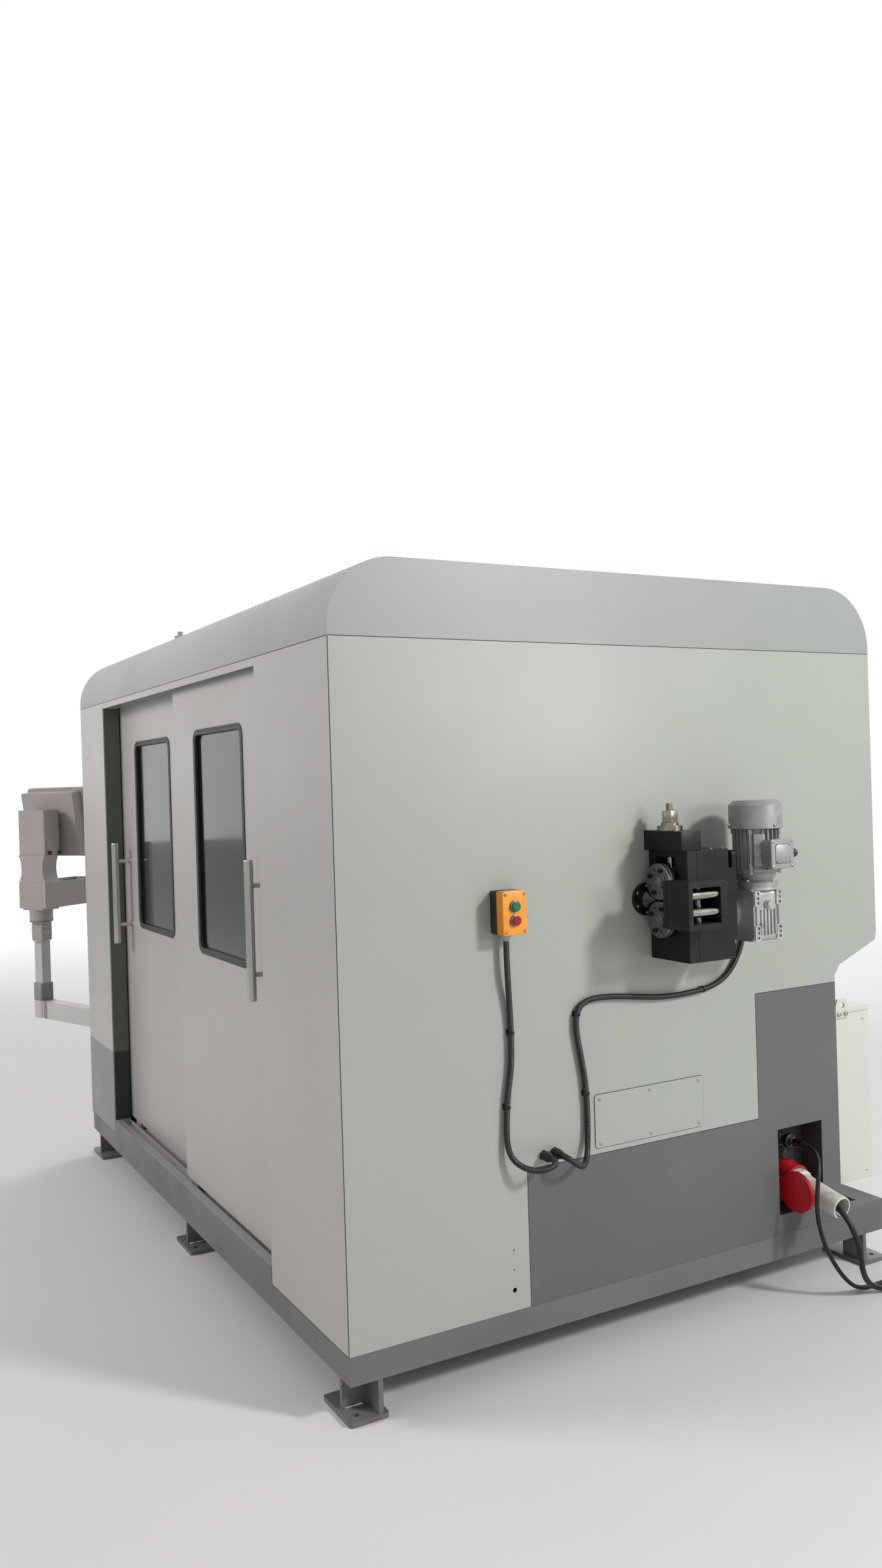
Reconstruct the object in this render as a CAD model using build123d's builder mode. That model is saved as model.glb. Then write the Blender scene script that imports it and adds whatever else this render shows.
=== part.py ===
from build123d import *
import os
from math import sin, cos, tan, radians, hypot, pi

os.makedirs("parts", exist_ok=True)

# Frame: +X towards the end that the wire comes in at, +Y away from the operator, +Z up.
# The origin is on the floor, in the middle of the four corner anchor holes.

# Enclosure
half_length = 1240.0
front_y = -868.0
rear_y = 870.0
sheet = 3.0
rail_bottom = 91.0
rail_top = 180.0
skirt_z = 160.0
eave_z = 1790.0
roof_rise = 187.0
roof_corner = 170.0
near_column_x = 765.0
far_column_x = -868.0
column_lip = 5.0
step_y = 694.0
step_top_z = 970.0
step_low_z = 860.0
drain_hole = (-423.0, 210.0)
drain_radius = 6.0

# Base
rail_wall = 72.0
end_rail_wall = 34.0
pan_plate = 6.0
foot_plate = 12.0
foot_length = 155.0
foot_width = 100.0
anchor_inset = 30.0
anchor_inset_y = 28.0
anchor_radius = 8.0
mid_foot_x = -97.0
mid_anchor_x = 28.0
gusset = 12.0

# Doors
door_bottom = 215.0
door_thick = 25.0
near_door_y = -838.0
far_door_y = -803.0
near_door_left = -60.0
far_door_right = -30.0
door_lap = 15.0
window_left = 150.0
far_window_left = -665.0
window_width = 425.0
far_window_width = 430.0
window_bottom = 960.0
window_height = 665.0
window_corner = 30.0
glass_thick = 6.0
seat_gap = 0.3
handle_radius = 12.5
handle_low = 887.0
handle_length = 374.0
post_radius = 7.0
post_inset = 69.0
near_handle_x = 697.0
far_handle_x = -788.0
near_handle_reach = 36.0
far_handle_reach = 55.0
track_lip_z = 1768.0
track_plate = 4.0
sill_z = 207.0
sill_plate = 3.0

# Wire line and coiling point
wire_y = 12.0
wire_z = 1130.5
coil_x = -20.0
wire_gap = 3.0

# Inner face plate
plate_y = 60.0
plate_thick = 35.0
plate_left = -560.0
plate_right = 760.0
plate_top = 1640.0
rib_depth = 460.0
rib_thick = 20.0
feed_roll_x = 330.0
feed_roll_radius = 45.0
feed_roll_width = 20.0
feed_shaft_radius = 16.0
running_gap = 0.05
gear_teeth = 31
gear_width = 20.0
gear_space = 10.0
slide_start = 170.0
slide_length = 180.0
way_start = 160.0
way_length = 260.0
tool_tip = 22.0

# Pre-feed unit
unit_depth = 150.0
unit_left_y = 29.5
unit_split_y = 61.0
unit_right_y = 182.0
unit_bottom = 976.0
unit_top = 1258.0
case_y = 195.0
disc_inset = 65.0
disc_radius = 47.0
disc_width = 20.0
disc_shaft_radius = 15.0
disc_bolt_radius = 31.0
disc_bolt_bore = 6.2
disc_bolt_depth = 6.5
disc_bolt_turn = 65.0
disc_pin_bore = 2.5
slot_width = 74.0
slot_top = 1241.0
slot_bottom = 1132.0
slot_depth = 28.5
block_height = 72.0
cap_height = 51.0
screw_inset = 70.0
screw_y = 44.0
screw_radius = 9.0
guide_reach = 227.0
guide_back = 130.0
guide_left_y = -35.0
guide_right_y = 86.0
guide_plate_y = 124.0
guide_bottom = 1069.0
guide_top = 1188.0
guide_win_left = -22.0
guide_win_right = 67.0
guide_win_bottom = 1084.0
guide_win_top = 1173.0
roller_radius = 12.0
roller_inset = 17.0
roller_upper_z = 1154.0
roller_lower_z = 1111.0
upright_radius = 11.0
upright_inset = 48.0
upright_spread = 21.0
pin_radius = 4.0
pin_depth = 9.0

# Inlet tube
inlet_bore = 25.0
inlet_flange = 43.0
inlet_plate = 8.0
inlet_boss = 24.0
tube_bore = 6.0

# Worm gearbox and motor
gearbox_inset = 12.0
gearbox_width = 148.0
gearbox_front_y = 237.0
gearbox_back_y = 336.0
gearbox_bottom = 1012.0
gearbox_top = 1147.0
face_relief = 4.0
rib_step = 12.0
pad_width = 19.0
pad_height = 39.0
pad_inset = 11.5
flange_radius = 53.0
motor_inset = 123.0
motor_y = 288.0
motor_flange_z = 1154.0
motor_body_z = 1200.0
motor_body_radius = 53.0
fin_reach = 8.0
fan_cover_z = 1306.0
fan_cover_top = 1378.0
fan_cover_radius = 69.0
terminal_depth = 32.0
terminal_y = 247.0
terminal_width = 78.0
terminal_bottom = 1203.0
terminal_height = 76.0

# Push-button box
button_y = -427.0
button_box_width = 68.0
button_box_bottom = 1080.0
button_box_height = 105.0
button_box_depth = 58.0
button_box_back = 28.0
green_z = 1149.0
red_z = 1115.0
button_radius = 11.0
button_travel = 4.0
bezel_radius = 13.5
bezel_height = 6.0

# Supply recess
dark_left_y = -377.0
dark_step_y = 385.0
dark_low_z = 495.0
dark_high_z = 840.0
recess_left_y = 454.0
recess_right_y = 624.0
recess_bottom = 214.0
recess_top = 453.0
recess_depth = 77.0
socket_y = 548.0
socket_z = 284.0
socket_tilt = 10.0
plug_radius = 38.0
socket_depth = 44.0
connector_y = 552.0
connector_z = 392.0
lid_radius = 56.0
lid_thick = 12.0
lid_open = 83.0

# Transformer case
case_length = 500.0
case_inset = 155.0
case_x = half_length - case_inset - case_length
case_depth = 303.0
case_top = 716.0

# Pendant
pivot_reach = 55.0
pivot_y = -755.0
pivot_radius = 10.0
arm_z = 466.0
arm_height = 76.0
arm_width = 50.0
mast_x = -1800.0
mast_y = -942.0
mast_top = 804.0
head_turn = 34.8
tilt = 9.0
sleeve_width = 62.0
sleeve_top = 889.0
drum_radius = 50.0
console_low = 950.0
console_high = 1063.0
console_width = 160.0
console_rear = 50.0
console_front = 300.0
tray_rear = 70.0
tray_sink = 20.0
neck_waist = 15.0
neck_depth = 84.0
rear_box_low = 1184.0
rear_box_high = 1382.0
rear_box_width = 153.0
rear_box_depth = 90.0
estop_z = 1004.0


def path_of(points):
    """A route's points, with the radius of the arc at each corner."""
    pts = [Vector(*p) for p in points]
    radii = []
    for a, b, c in zip(pts, pts[1:], pts[2:]):
        turn = radians((b - a).get_angle(c - b))
        run = min((b - a).length, (c - b).length)
        radii.append(0.45 * run / tan(turn / 2))
    return pts, radii


# Base frame: a welded ring of rails with the oil pan let into it
rail_x = half_length - sheet
rail_front = front_y + sheet
rail_rear = rear_y - sheet
with BuildPart() as base_frame:
    with BuildSketch(Plane.XY.offset(rail_bottom)):
        with BuildLine():
            Polyline((-rail_x, rail_front), (rail_x, rail_front), (rail_x, rail_rear),
                     (-rail_x, rail_rear), close=True)
        make_face()
        with BuildLine():
            Polyline((-rail_x + end_rail_wall, rail_front + rail_wall),
                     (rail_x - end_rail_wall, rail_front + rail_wall),
                     (rail_x - end_rail_wall, rail_rear - rail_wall),
                     (-rail_x + end_rail_wall, rail_rear - rail_wall), close=True)
        make_face(mode=Mode.SUBTRACT)
    extrude(amount=rail_top - rail_bottom)
    with BuildSketch(Plane.XY.offset(rail_top - pan_plate)):
        with Locations((0, (rail_front + rail_wall + step_y) / 2)):
            Rectangle(2 * (rail_x - end_rail_wall), step_y - rail_front - rail_wall)
    extrude(amount=pan_plate)
    # Bearers across the rear well, under the transformer
    with BuildSketch(Plane.XY.offset(rail_top - 50)):
        for bearer_x in (case_x + 60, case_x + case_length - 60):
            with Locations((bearer_x, (step_y + rail_rear - rail_wall) / 2)):
                Rectangle(60, rail_rear - rail_wall - step_y)
    extrude(amount=50)
base_frame.part.label = "base_frame"
export_step(base_frame.part, "parts/base_frame.step")

# Anchor feet: a floor plate, a web and a rib, welded under the rails
foot_front = front_y - 2
foot_left = half_length - foot_length
web_x = foot_left + 73
with BuildPart() as anchor_feet:
    with BuildSketch():
        with Locations((half_length - foot_length / 2, foot_front + foot_width / 2)):
            RectangleRounded(foot_length, foot_width, 8)
        with Locations((half_length - anchor_inset, foot_front + anchor_inset_y)):
            Circle(anchor_radius, mode=Mode.SUBTRACT)
    extrude(amount=foot_plate)
    with BuildSketch(Plane.XY.offset(foot_plate)):
        with BuildLine():
            Polyline((web_x, foot_front + 12), (web_x + gusset, foot_front + 12),
                     (web_x + gusset, foot_front + 87 - gusset),
                     (half_length - 5, foot_front + 87 - gusset),
                     (half_length - 5, foot_front + 87),
                     (web_x, foot_front + 87), close=True)
        make_face()
    extrude(amount=rail_bottom - foot_plate)
    mirror(about=Plane.YZ)
    with BuildSketch():
        with Locations((mid_foot_x + foot_length / 2, foot_front + foot_width / 2)):
            RectangleRounded(foot_length, foot_width, 8)
        with Locations((mid_anchor_x, foot_front + anchor_inset_y)):
            Circle(anchor_radius, mode=Mode.SUBTRACT)
    extrude(amount=foot_plate)
    with BuildSketch(Plane.XY.offset(foot_plate)):
        with BuildLine():
            Polyline((mid_foot_x + 73, foot_front + 12),
                     (mid_foot_x + 73 + gusset, foot_front + 12),
                     (mid_foot_x + 73 + gusset, foot_front + 87 - gusset),
                     (mid_foot_x + 150, foot_front + 87 - gusset),
                     (mid_foot_x + 150, foot_front + 87),
                     (mid_foot_x + 73, foot_front + 87), close=True)
        make_face()
    extrude(amount=rail_bottom - foot_plate)
    mirror(about=Plane.XZ)
anchor_feet.part.label = "anchor_feet"
export_step(anchor_feet.part, "parts/anchor_feet.step")

# End panels: one sheet each, folded round the front corner into the column
end_outline = [(front_y, skirt_z), (front_y, eave_z), (rear_y, eave_z), (rear_y, step_top_z),
               (rear_y - 6, step_top_z - 23), (step_y + 21, step_low_z + 28),
               (step_y, step_low_z), (step_y, skirt_z)]
dark_outline = [(dark_left_y, skirt_z), (dark_left_y, dark_low_z), (dark_step_y, dark_low_z),
                (dark_step_y, dark_high_z), (step_y, dark_high_z), (step_y, skirt_z)]
with BuildPart() as near_end_panel:
    with BuildSketch(Plane.YZ.offset(half_length - sheet)):
        with BuildLine():
            Polyline(*end_outline, close=True)
        make_face()
        with BuildLine():
            Polyline(*dark_outline, close=True)
        make_face(mode=Mode.SUBTRACT)
        with Locations((wire_y, wire_z)):
            Circle(inlet_bore, mode=Mode.SUBTRACT)
        with Locations(drain_hole):
            Circle(drain_radius, mode=Mode.SUBTRACT)
        with Locations((drain_hole[0], drain_hole[1] + 49), (drain_hole[0], drain_hole[1] + 97)):
            Circle(2, mode=Mode.SUBTRACT)
    extrude(amount=sheet)
    with BuildSketch(Plane.XY.offset(skirt_z)):
        with Locations(((near_column_x + half_length - sheet) / 2, front_y + sheet / 2)):
            Rectangle(half_length - sheet - near_column_x, sheet)
    extrude(amount=eave_z - skirt_z)
    with BuildSketch(Plane.XY.offset(rail_top)):
        with Locations((near_column_x + sheet / 2, (front_y + near_door_y - column_lip) / 2)):
            Rectangle(sheet, near_door_y - column_lip - front_y)
    extrude(amount=eave_z - rail_top)
near_end_panel.part.label = "near_end_panel"
export_step(near_end_panel.part, "parts/near_end_panel.step")

with BuildPart() as far_end_panel:
    with BuildSketch(Plane.YZ.offset(-half_length)):
        with BuildLine():
            Polyline(*end_outline, close=True)
        make_face()
    extrude(amount=sheet)
    with BuildSketch(Plane.XY.offset(skirt_z)):
        with Locations(((far_column_x - half_length + sheet) / 2, front_y + sheet / 2)):
            Rectangle(far_column_x + half_length - sheet, sheet)
    extrude(amount=eave_z - skirt_z)
    with BuildSketch(Plane.XY.offset(rail_top)):
        with Locations((far_column_x - sheet / 2, (front_y + far_door_y - column_lip) / 2)):
            Rectangle(sheet, far_door_y - column_lip - front_y)
    extrude(amount=eave_z - rail_top)
far_end_panel.part.label = "far_end_panel"
export_step(far_end_panel.part, "parts/far_end_panel.step")

with BuildPart() as dark_end_panel:
    with BuildSketch(Plane.YZ.offset(half_length - sheet)):
        with BuildLine():
            Polyline(*dark_outline, close=True)
        make_face()
        with Locations(((recess_left_y + recess_right_y) / 2, (recess_bottom + recess_top) / 2)):
            Rectangle(recess_right_y - recess_left_y, recess_top - recess_bottom,
                      mode=Mode.SUBTRACT)
    extrude(amount=sheet)
dark_end_panel.part.label = "dark_end_panel"
export_step(dark_end_panel.part, "parts/dark_end_panel.step")

cover_plate_thick = 2.0
with BuildPart() as cover_plate:
    with BuildSketch(Plane.YZ.offset(half_length)):
        with Locations((8.5, 577.5)):
            RectangleRounded(357, 135, 9)
    extrude(amount=cover_plate_thick)
    fillet(cover_plate.faces().sort_by(Axis.X)[-1].edges(), 0.6)
cover_plate.part.label = "cover_plate"
export_step(cover_plate.part, "parts/cover_plate.step")

# Recess box: a folded pan behind the dark panel
recess_back_x = half_length - sheet - recess_depth
with BuildPart() as recess_box:
    with BuildSketch(Plane.YZ.offset(recess_back_x - sheet)):
        with Locations(((recess_left_y + recess_right_y) / 2, (recess_bottom + recess_top) / 2)):
            Rectangle(recess_right_y - recess_left_y + 2 * sheet,
                      recess_top - recess_bottom + 2 * sheet)
    extrude(amount=recess_depth + sheet)
    offset(amount=-sheet, openings=recess_box.faces().sort_by(Axis.X)[-1])
recess_box.part.label = "recess_box"
export_step(recess_box.part, "parts/recess_box.step")

# Rear wall: one sheet, folded in above the rear well
with BuildPart() as rear_wall:
    with BuildSketch(Plane.YZ.offset(-half_length + sheet)):
        with BuildLine():
            Polyline((rear_y, eave_z), (rear_y, step_top_z), (rear_y - 6, step_top_z - 23),
                     (step_y + 21, step_low_z + 28), (step_y, step_low_z), (step_y, rail_top),
                     (step_y - sheet, rail_top), (step_y - sheet, step_low_z + 1),
                     (step_y + 19, step_low_z + 31), (rear_y - 8.5, step_top_z - 20.5),
                     (rear_y - sheet, step_top_z + 1), (rear_y - sheet, eave_z), close=True)
        make_face()
    extrude(amount=2 * (half_length - sheet))
rear_wall.part.label = "rear_wall"
export_step(rear_wall.part, "parts/rear_wall.step")

# Roof: a rounded cover with flat ends, open below, with a plugged lifting point
roof_top = eave_z + roof_rise
with BuildPart() as roof_cover:
    with BuildSketch(Plane.YZ.offset(-half_length)):
        with BuildLine():
            Polyline((front_y, eave_z), (front_y, roof_top), (rear_y, roof_top),
                     (rear_y, eave_z), close=True)
        make_face()
        fillet(vertices().sort_by(Axis.Y)[-2:], roof_corner)
    extrude(amount=2 * half_length)
    offset(amount=-sheet, openings=roof_cover.faces().sort_by(Axis.Z)[0])
    with BuildSketch(Plane.XY.offset(roof_top)):
        with Locations((-477, -678)):
            Circle(11)
    extrude(amount=40, taper=2)
    with BuildSketch(Plane.XY.offset(roof_top + 18)):
        with Locations((-477, -678)):
            Circle(21)
    extrude(amount=6)
roof_cover.part.label = "roof_cover"
export_step(roof_cover.part, "parts/roof_cover.step")

# Door tracks: a header and a sill, each a channel with a dividing rib for the two doors
near_back = near_door_y + door_thick
far_back = far_door_y + door_thick
rib_left = near_back + 3
rib_right = far_door_y - 3
rear_lip = far_back + 4
header_z = eave_z - track_plate
with BuildPart() as door_tracks:
    with BuildSketch(Plane.YZ.offset(far_column_x)):
        with BuildLine():
            Polyline((front_y, track_lip_z), (front_y, eave_z), (rear_lip + sheet, eave_z),
                     (rear_lip + sheet, track_lip_z), (rear_lip, track_lip_z),
                     (rear_lip, header_z), (rib_right, header_z), (rib_right, header_z - 14),
                     (rib_left, header_z - 14), (rib_left, header_z),
                     (front_y + sheet, header_z), (front_y + sheet, track_lip_z), close=True)
        make_face()
        with BuildLine():
            Polyline((front_y, skirt_z), (front_y, sill_z), (front_y + sheet, sill_z),
                     (front_y + sheet, rail_top + sill_plate), (rib_left, rail_top + sill_plate),
                     (rib_left, sill_z - 7), (rib_right, sill_z - 7),
                     (rib_right, rail_top + sill_plate), (rear_lip, rail_top + sill_plate),
                     (rear_lip, sill_z), (rear_lip + sheet, sill_z),
                     (rear_lip + sheet, rail_top), (front_y + sheet, rail_top),
                     (front_y + sheet, skirt_z), close=True)
        make_face()
    extrude(amount=near_column_x - far_column_x)
door_tracks.part.label = "door_tracks"
export_step(door_tracks.part, "parts/door_tracks.step")

# Doors: double-skinned leaves that hang between the track's lips and stand on two shoes
door_top = header_z - 3
shoe_z = rail_top + sill_plate + seat_gap
near_door_right = near_column_x + door_lap
far_door_left = far_column_x - door_lap
with BuildPart() as near_door:
    with BuildSketch(Plane.XZ.offset(-near_back)):
        with Locations(((near_door_left + near_door_right) / 2, (door_bottom + door_top) / 2)):
            Rectangle(near_door_right - near_door_left, door_top - door_bottom)
        with Locations((window_left + window_width / 2, window_bottom + window_height / 2)):
            RectangleRounded(window_width, window_height, window_corner, mode=Mode.SUBTRACT)
    extrude(amount=door_thick)
    with BuildSketch(Plane.XZ.offset(-near_back + 6)):
        for shoe_x in (near_door_left + 60, near_door_right - 80):
            with Locations((shoe_x, (shoe_z + door_bottom) / 2)):
                Rectangle(60, door_bottom - shoe_z)
    extrude(amount=door_thick - 12)
near_door.part.label = "near_door"
export_step(near_door.part, "parts/near_door.step")

with BuildPart() as far_door:
    with BuildSketch(Plane.XZ.offset(-far_back)):
        with Locations(((far_door_left + far_door_right) / 2, (door_bottom + door_top) / 2)):
            Rectangle(far_door_right - far_door_left, door_top - door_bottom)
        with Locations((far_window_left + far_window_width / 2,
                        window_bottom + window_height / 2)):
            RectangleRounded(far_window_width, window_height, window_corner,
                             mode=Mode.SUBTRACT)
    extrude(amount=door_thick)
    with BuildSketch(Plane.XZ.offset(-far_back + 6)):
        for shoe_x in (far_door_left + 80, far_door_right - 60):
            with Locations((shoe_x, (shoe_z + door_bottom) / 2)):
                Rectangle(60, door_bottom - shoe_z)
    extrude(amount=door_thick - 12)
far_door.part.label = "far_door"
export_step(far_door.part, "parts/far_door.step")

# Windows: a pane held in each leaf's cut-out
pane_corner = window_corner - seat_gap
with BuildPart() as near_window:
    with BuildSketch(Plane.XZ.offset(-near_door_y - 8 - glass_thick)):
        with Locations((window_left + window_width / 2, window_bottom + window_height / 2)):
            RectangleRounded(window_width - 2 * seat_gap, window_height - 2 * seat_gap,
                             pane_corner)
    extrude(amount=glass_thick)
near_window.part.label = "near_window"
export_step(near_window.part, "parts/near_window.step")

with BuildPart() as far_window:
    with BuildSketch(Plane.XZ.offset(-far_door_y - 8 - glass_thick)):
        with Locations((far_window_left + far_window_width / 2,
                        window_bottom + window_height / 2)):
            RectangleRounded(far_window_width - 2 * seat_gap, window_height - 2 * seat_gap,
                             pane_corner)
    extrude(amount=glass_thick)
far_window.part.label = "far_window"
export_step(far_window.part, "parts/far_window.step")

# Handles: an upright bar on two turned posts
with BuildPart() as near_handle:
    with BuildSketch(Plane.XY.offset(handle_low)):
        with Locations((near_handle_x, near_door_y - near_handle_reach)):
            Circle(handle_radius)
    extrude(amount=handle_length)
    fillet(near_handle.edges().filter_by(GeomType.CIRCLE), 3)
    with BuildSketch(Plane.XZ.offset(-near_door_y)):
        with Locations((near_handle_x, handle_low + post_inset),
                       (near_handle_x, handle_low + handle_length - post_inset)):
            Circle(post_radius)
    extrude(amount=near_handle_reach)
near_handle.part.label = "near_handle"
export_step(near_handle.part, "parts/near_handle.step")

with BuildPart() as far_handle:
    with BuildSketch(Plane.XY.offset(handle_low)):
        with Locations((far_handle_x, far_door_y - far_handle_reach)):
            Circle(handle_radius)
    extrude(amount=handle_length)
    fillet(far_handle.edges().filter_by(GeomType.CIRCLE), 3)
    with BuildSketch(Plane.XZ.offset(-far_door_y)):
        with Locations((far_handle_x, handle_low + post_inset),
                       (far_handle_x, handle_low + handle_length - post_inset)):
            Circle(post_radius)
    extrude(amount=far_handle_reach)
far_handle.part.label = "far_handle"
export_step(far_handle.part, "parts/far_handle.step")

# Inner face plate: stands on the pan, with two rear ribs, shaft bores and four slideways
lower_roll_z = wire_z - wire_gap / 2 - feed_roll_radius
upper_roll_z = wire_z + wire_gap / 2 + feed_roll_radius
slide_angles = (135, 225, 90, 270)


def ray_plane(angle, reach):
    """A plane across the slide at this angle: local x across it, local y to the front."""
    out = Vector(cos(radians(angle)), 0, sin(radians(angle)))
    base = Vector(coil_x, plate_y, wire_z) + out * reach
    return Plane(origin=base, x_dir=out.cross(Vector(0, -1, 0)) * -1, z_dir=out)


with BuildPart() as face_plate:
    with BuildSketch(Plane.XZ.offset(-plate_y - plate_thick)):
        with Locations(((plate_left + plate_right) / 2, (rail_top + plate_top) / 2)):
            Rectangle(plate_right - plate_left, plate_top - rail_top)
        fillet(vertices().sort_by(Axis.Y)[-2:], 40)
        with Locations((feed_roll_x, lower_roll_z), (feed_roll_x, upper_roll_z)):
            Circle(feed_shaft_radius + running_gap, mode=Mode.SUBTRACT)
    extrude(amount=plate_thick)
    for rib_x in (plate_left + 60, plate_right - 60):
        with BuildSketch(Plane.YZ.offset(rib_x - rib_thick / 2)):
            with BuildLine():
                Polyline((plate_y + plate_thick, rail_top),
                         (plate_y + plate_thick + rib_depth, rail_top),
                         (plate_y + plate_thick + rib_depth, rail_top + 60),
                         (plate_y + plate_thick + 40, plate_top - 140),
                         (plate_y + plate_thick, plate_top - 140), close=True)
            make_face()
        extrude(amount=rib_thick)
    for angle in slide_angles:
        with BuildSketch(ray_plane(angle, way_start)):
            with BuildLine():
                Polyline((-58, 0), (-58, 40), (-35.5, 40), (-35.5, 33), (-46.3, 33), (-46.3, 20),
                         (46.3, 20), (46.3, 33), (35.5, 33), (35.5, 40), (58, 40), (58, 0),
                         close=True)
            make_face()
        extrude(amount=way_length)
face_plate.part.label = "face_plate"
export_step(face_plate.part, "parts/face_plate.step")

# Tool slides: a T-section block with a tapered tool bar clamped on its front
for name, angle in zip(("upper_coiling_slide", "lower_coiling_slide", "cutter_slide",
                        "pitch_slide"), slide_angles):
    with BuildPart() as slide:
        with BuildSketch(ray_plane(angle, slide_start)):
            with BuildLine():
                Polyline((-46, 20.3), (-46, 32.7), (-35, 32.7), (-35, 56), (35, 56),
                         (35, 32.7), (46, 32.7), (46, 20.3), close=True)
            make_face()
        extrude(amount=slide_length)
        with BuildSketch(ray_plane(angle, tool_tip)) as tip:
            with Locations((0, plate_y - wire_y)):
                Rectangle(5, 6)
        with BuildSketch(ray_plane(angle, tool_tip + 60)) as shank:
            with Locations((0, plate_y - wire_y)):
                Rectangle(24, 14)
        loft()
        with BuildSketch(ray_plane(angle, tool_tip + 60)):
            with Locations((0, plate_y - wire_y)):
                Rectangle(24, 14)
        extrude(amount=slide_start - tool_tip - 60 + 40)
        with BuildSketch(ray_plane(angle, slide_start + 20)):
            with Locations((0, 60)):
                Rectangle(50, 12)
        extrude(amount=70)
    slide.part.label = name
    export_step(slide.part, f"parts/{name}.step")

# Wire guides: the quill at the coiling point with its arbor, and the straight inlet guide
with BuildPart() as wire_guides:
    with BuildSketch(Plane.YZ.offset(coil_x + 14)) as quill_tip:
        with Locations((wire_y, wire_z)):
            Rectangle(9, 9)
    with BuildSketch(Plane.YZ.offset(coil_x + 74)) as quill_root:
        with Locations((wire_y, wire_z)):
            Rectangle(22, 26)
    loft()
    with BuildSketch(Plane.YZ.offset(coil_x + 74)):
        with Locations((wire_y, wire_z)):
            Rectangle(22, 26)
    extrude(amount=feed_roll_x - 40 - coil_x - 74)
    with BuildSketch(Plane.XZ.offset(-plate_y)):
        with Locations((coil_x + 220, wire_z)):
            RectangleRounded(110, 90, 6)
    extrude(amount=plate_y - wire_y - 11)
    with BuildSketch(Plane.XZ.offset(-plate_y)):
        with Locations((coil_x, wire_z - 7)):
            Circle(4.5)
    extrude(amount=plate_y + 4)
    with BuildSketch(Plane.YZ.offset(feed_roll_x + 40)):
        with Locations((wire_y, wire_z)):
            Rectangle(22, 22)
    extrude(amount=300)
    with BuildSketch(Plane.XZ.offset(-plate_y)):
        with Locations((feed_roll_x + 190, wire_z)):
            RectangleRounded(160, 90, 6)
    extrude(amount=plate_y - wire_y - 11)
    with BuildSketch(Plane.YZ.offset(coil_x + 14)):
        with Locations((wire_y, wire_z)):
            Circle(2.5)
    extrude(amount=feed_roll_x + 340 - coil_x, mode=Mode.SUBTRACT)
wire_guides.part.label = "wire_guides"
export_step(wire_guides.part, "parts/wire_guides.step")

# Feed rolls: roll, shaft and gear keyed together, geared one to one
pitch_radius = feed_roll_radius + wire_gap / 2
gear_y = plate_y + plate_thick + gear_space
gear_module = 2 * pitch_radius / gear_teeth
tooth_step = 360.0 / gear_teeth


def tooth_ring(phase):
    """Corner points of a spur gear with straight-sided teeth and ample backlash."""
    ring = []
    for k in range(gear_teeth):
        mid = phase + k * tooth_step
        for turn, reach in ((-0.27, -1.2), (-0.12, 0.85), (0.12, 0.85), (0.27, -1.2)):
            a = radians(mid + turn * tooth_step)
            r = pitch_radius + reach * gear_module
            ring.append((r * cos(a), r * sin(a)))
    return ring


for name, roll_z, phase in (("lower_feed_roll", lower_roll_z, 90),
                            ("upper_feed_roll", upper_roll_z, 270 + tooth_step / 2)):
    with BuildPart() as feed_roll:
        with BuildSketch(Plane.XZ.offset(-wire_y - feed_roll_width / 2)):
            with Locations((feed_roll_x, roll_z)):
                Circle(feed_roll_radius)
        extrude(amount=feed_roll_width)
        chamfer(feed_roll.edges().filter_by(GeomType.CIRCLE), 1.5)
        with BuildSketch(Plane.XZ.offset(-wire_y + feed_roll_width / 2)):
            with Locations((feed_roll_x, roll_z)):
                Circle(feed_shaft_radius + 6)
        extrude(amount=12)
        with BuildSketch(Plane.XZ.offset(-gear_y - gear_width - 6)):
            with Locations((feed_roll_x, roll_z)):
                Circle(feed_shaft_radius)
        extrude(amount=gear_y + gear_width + 6 - wire_y - feed_roll_width / 2)
        with BuildSketch(Plane.XZ.offset(-gear_y - gear_width)):
            with BuildLine():
                Polyline(*[(feed_roll_x + u, roll_z + v) for u, v in tooth_ring(phase)],
                         close=True)
            make_face()
        extrude(amount=gear_width)
    feed_roll.part.label = name
    export_step(feed_roll.part, f"parts/{name}.step")

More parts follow.
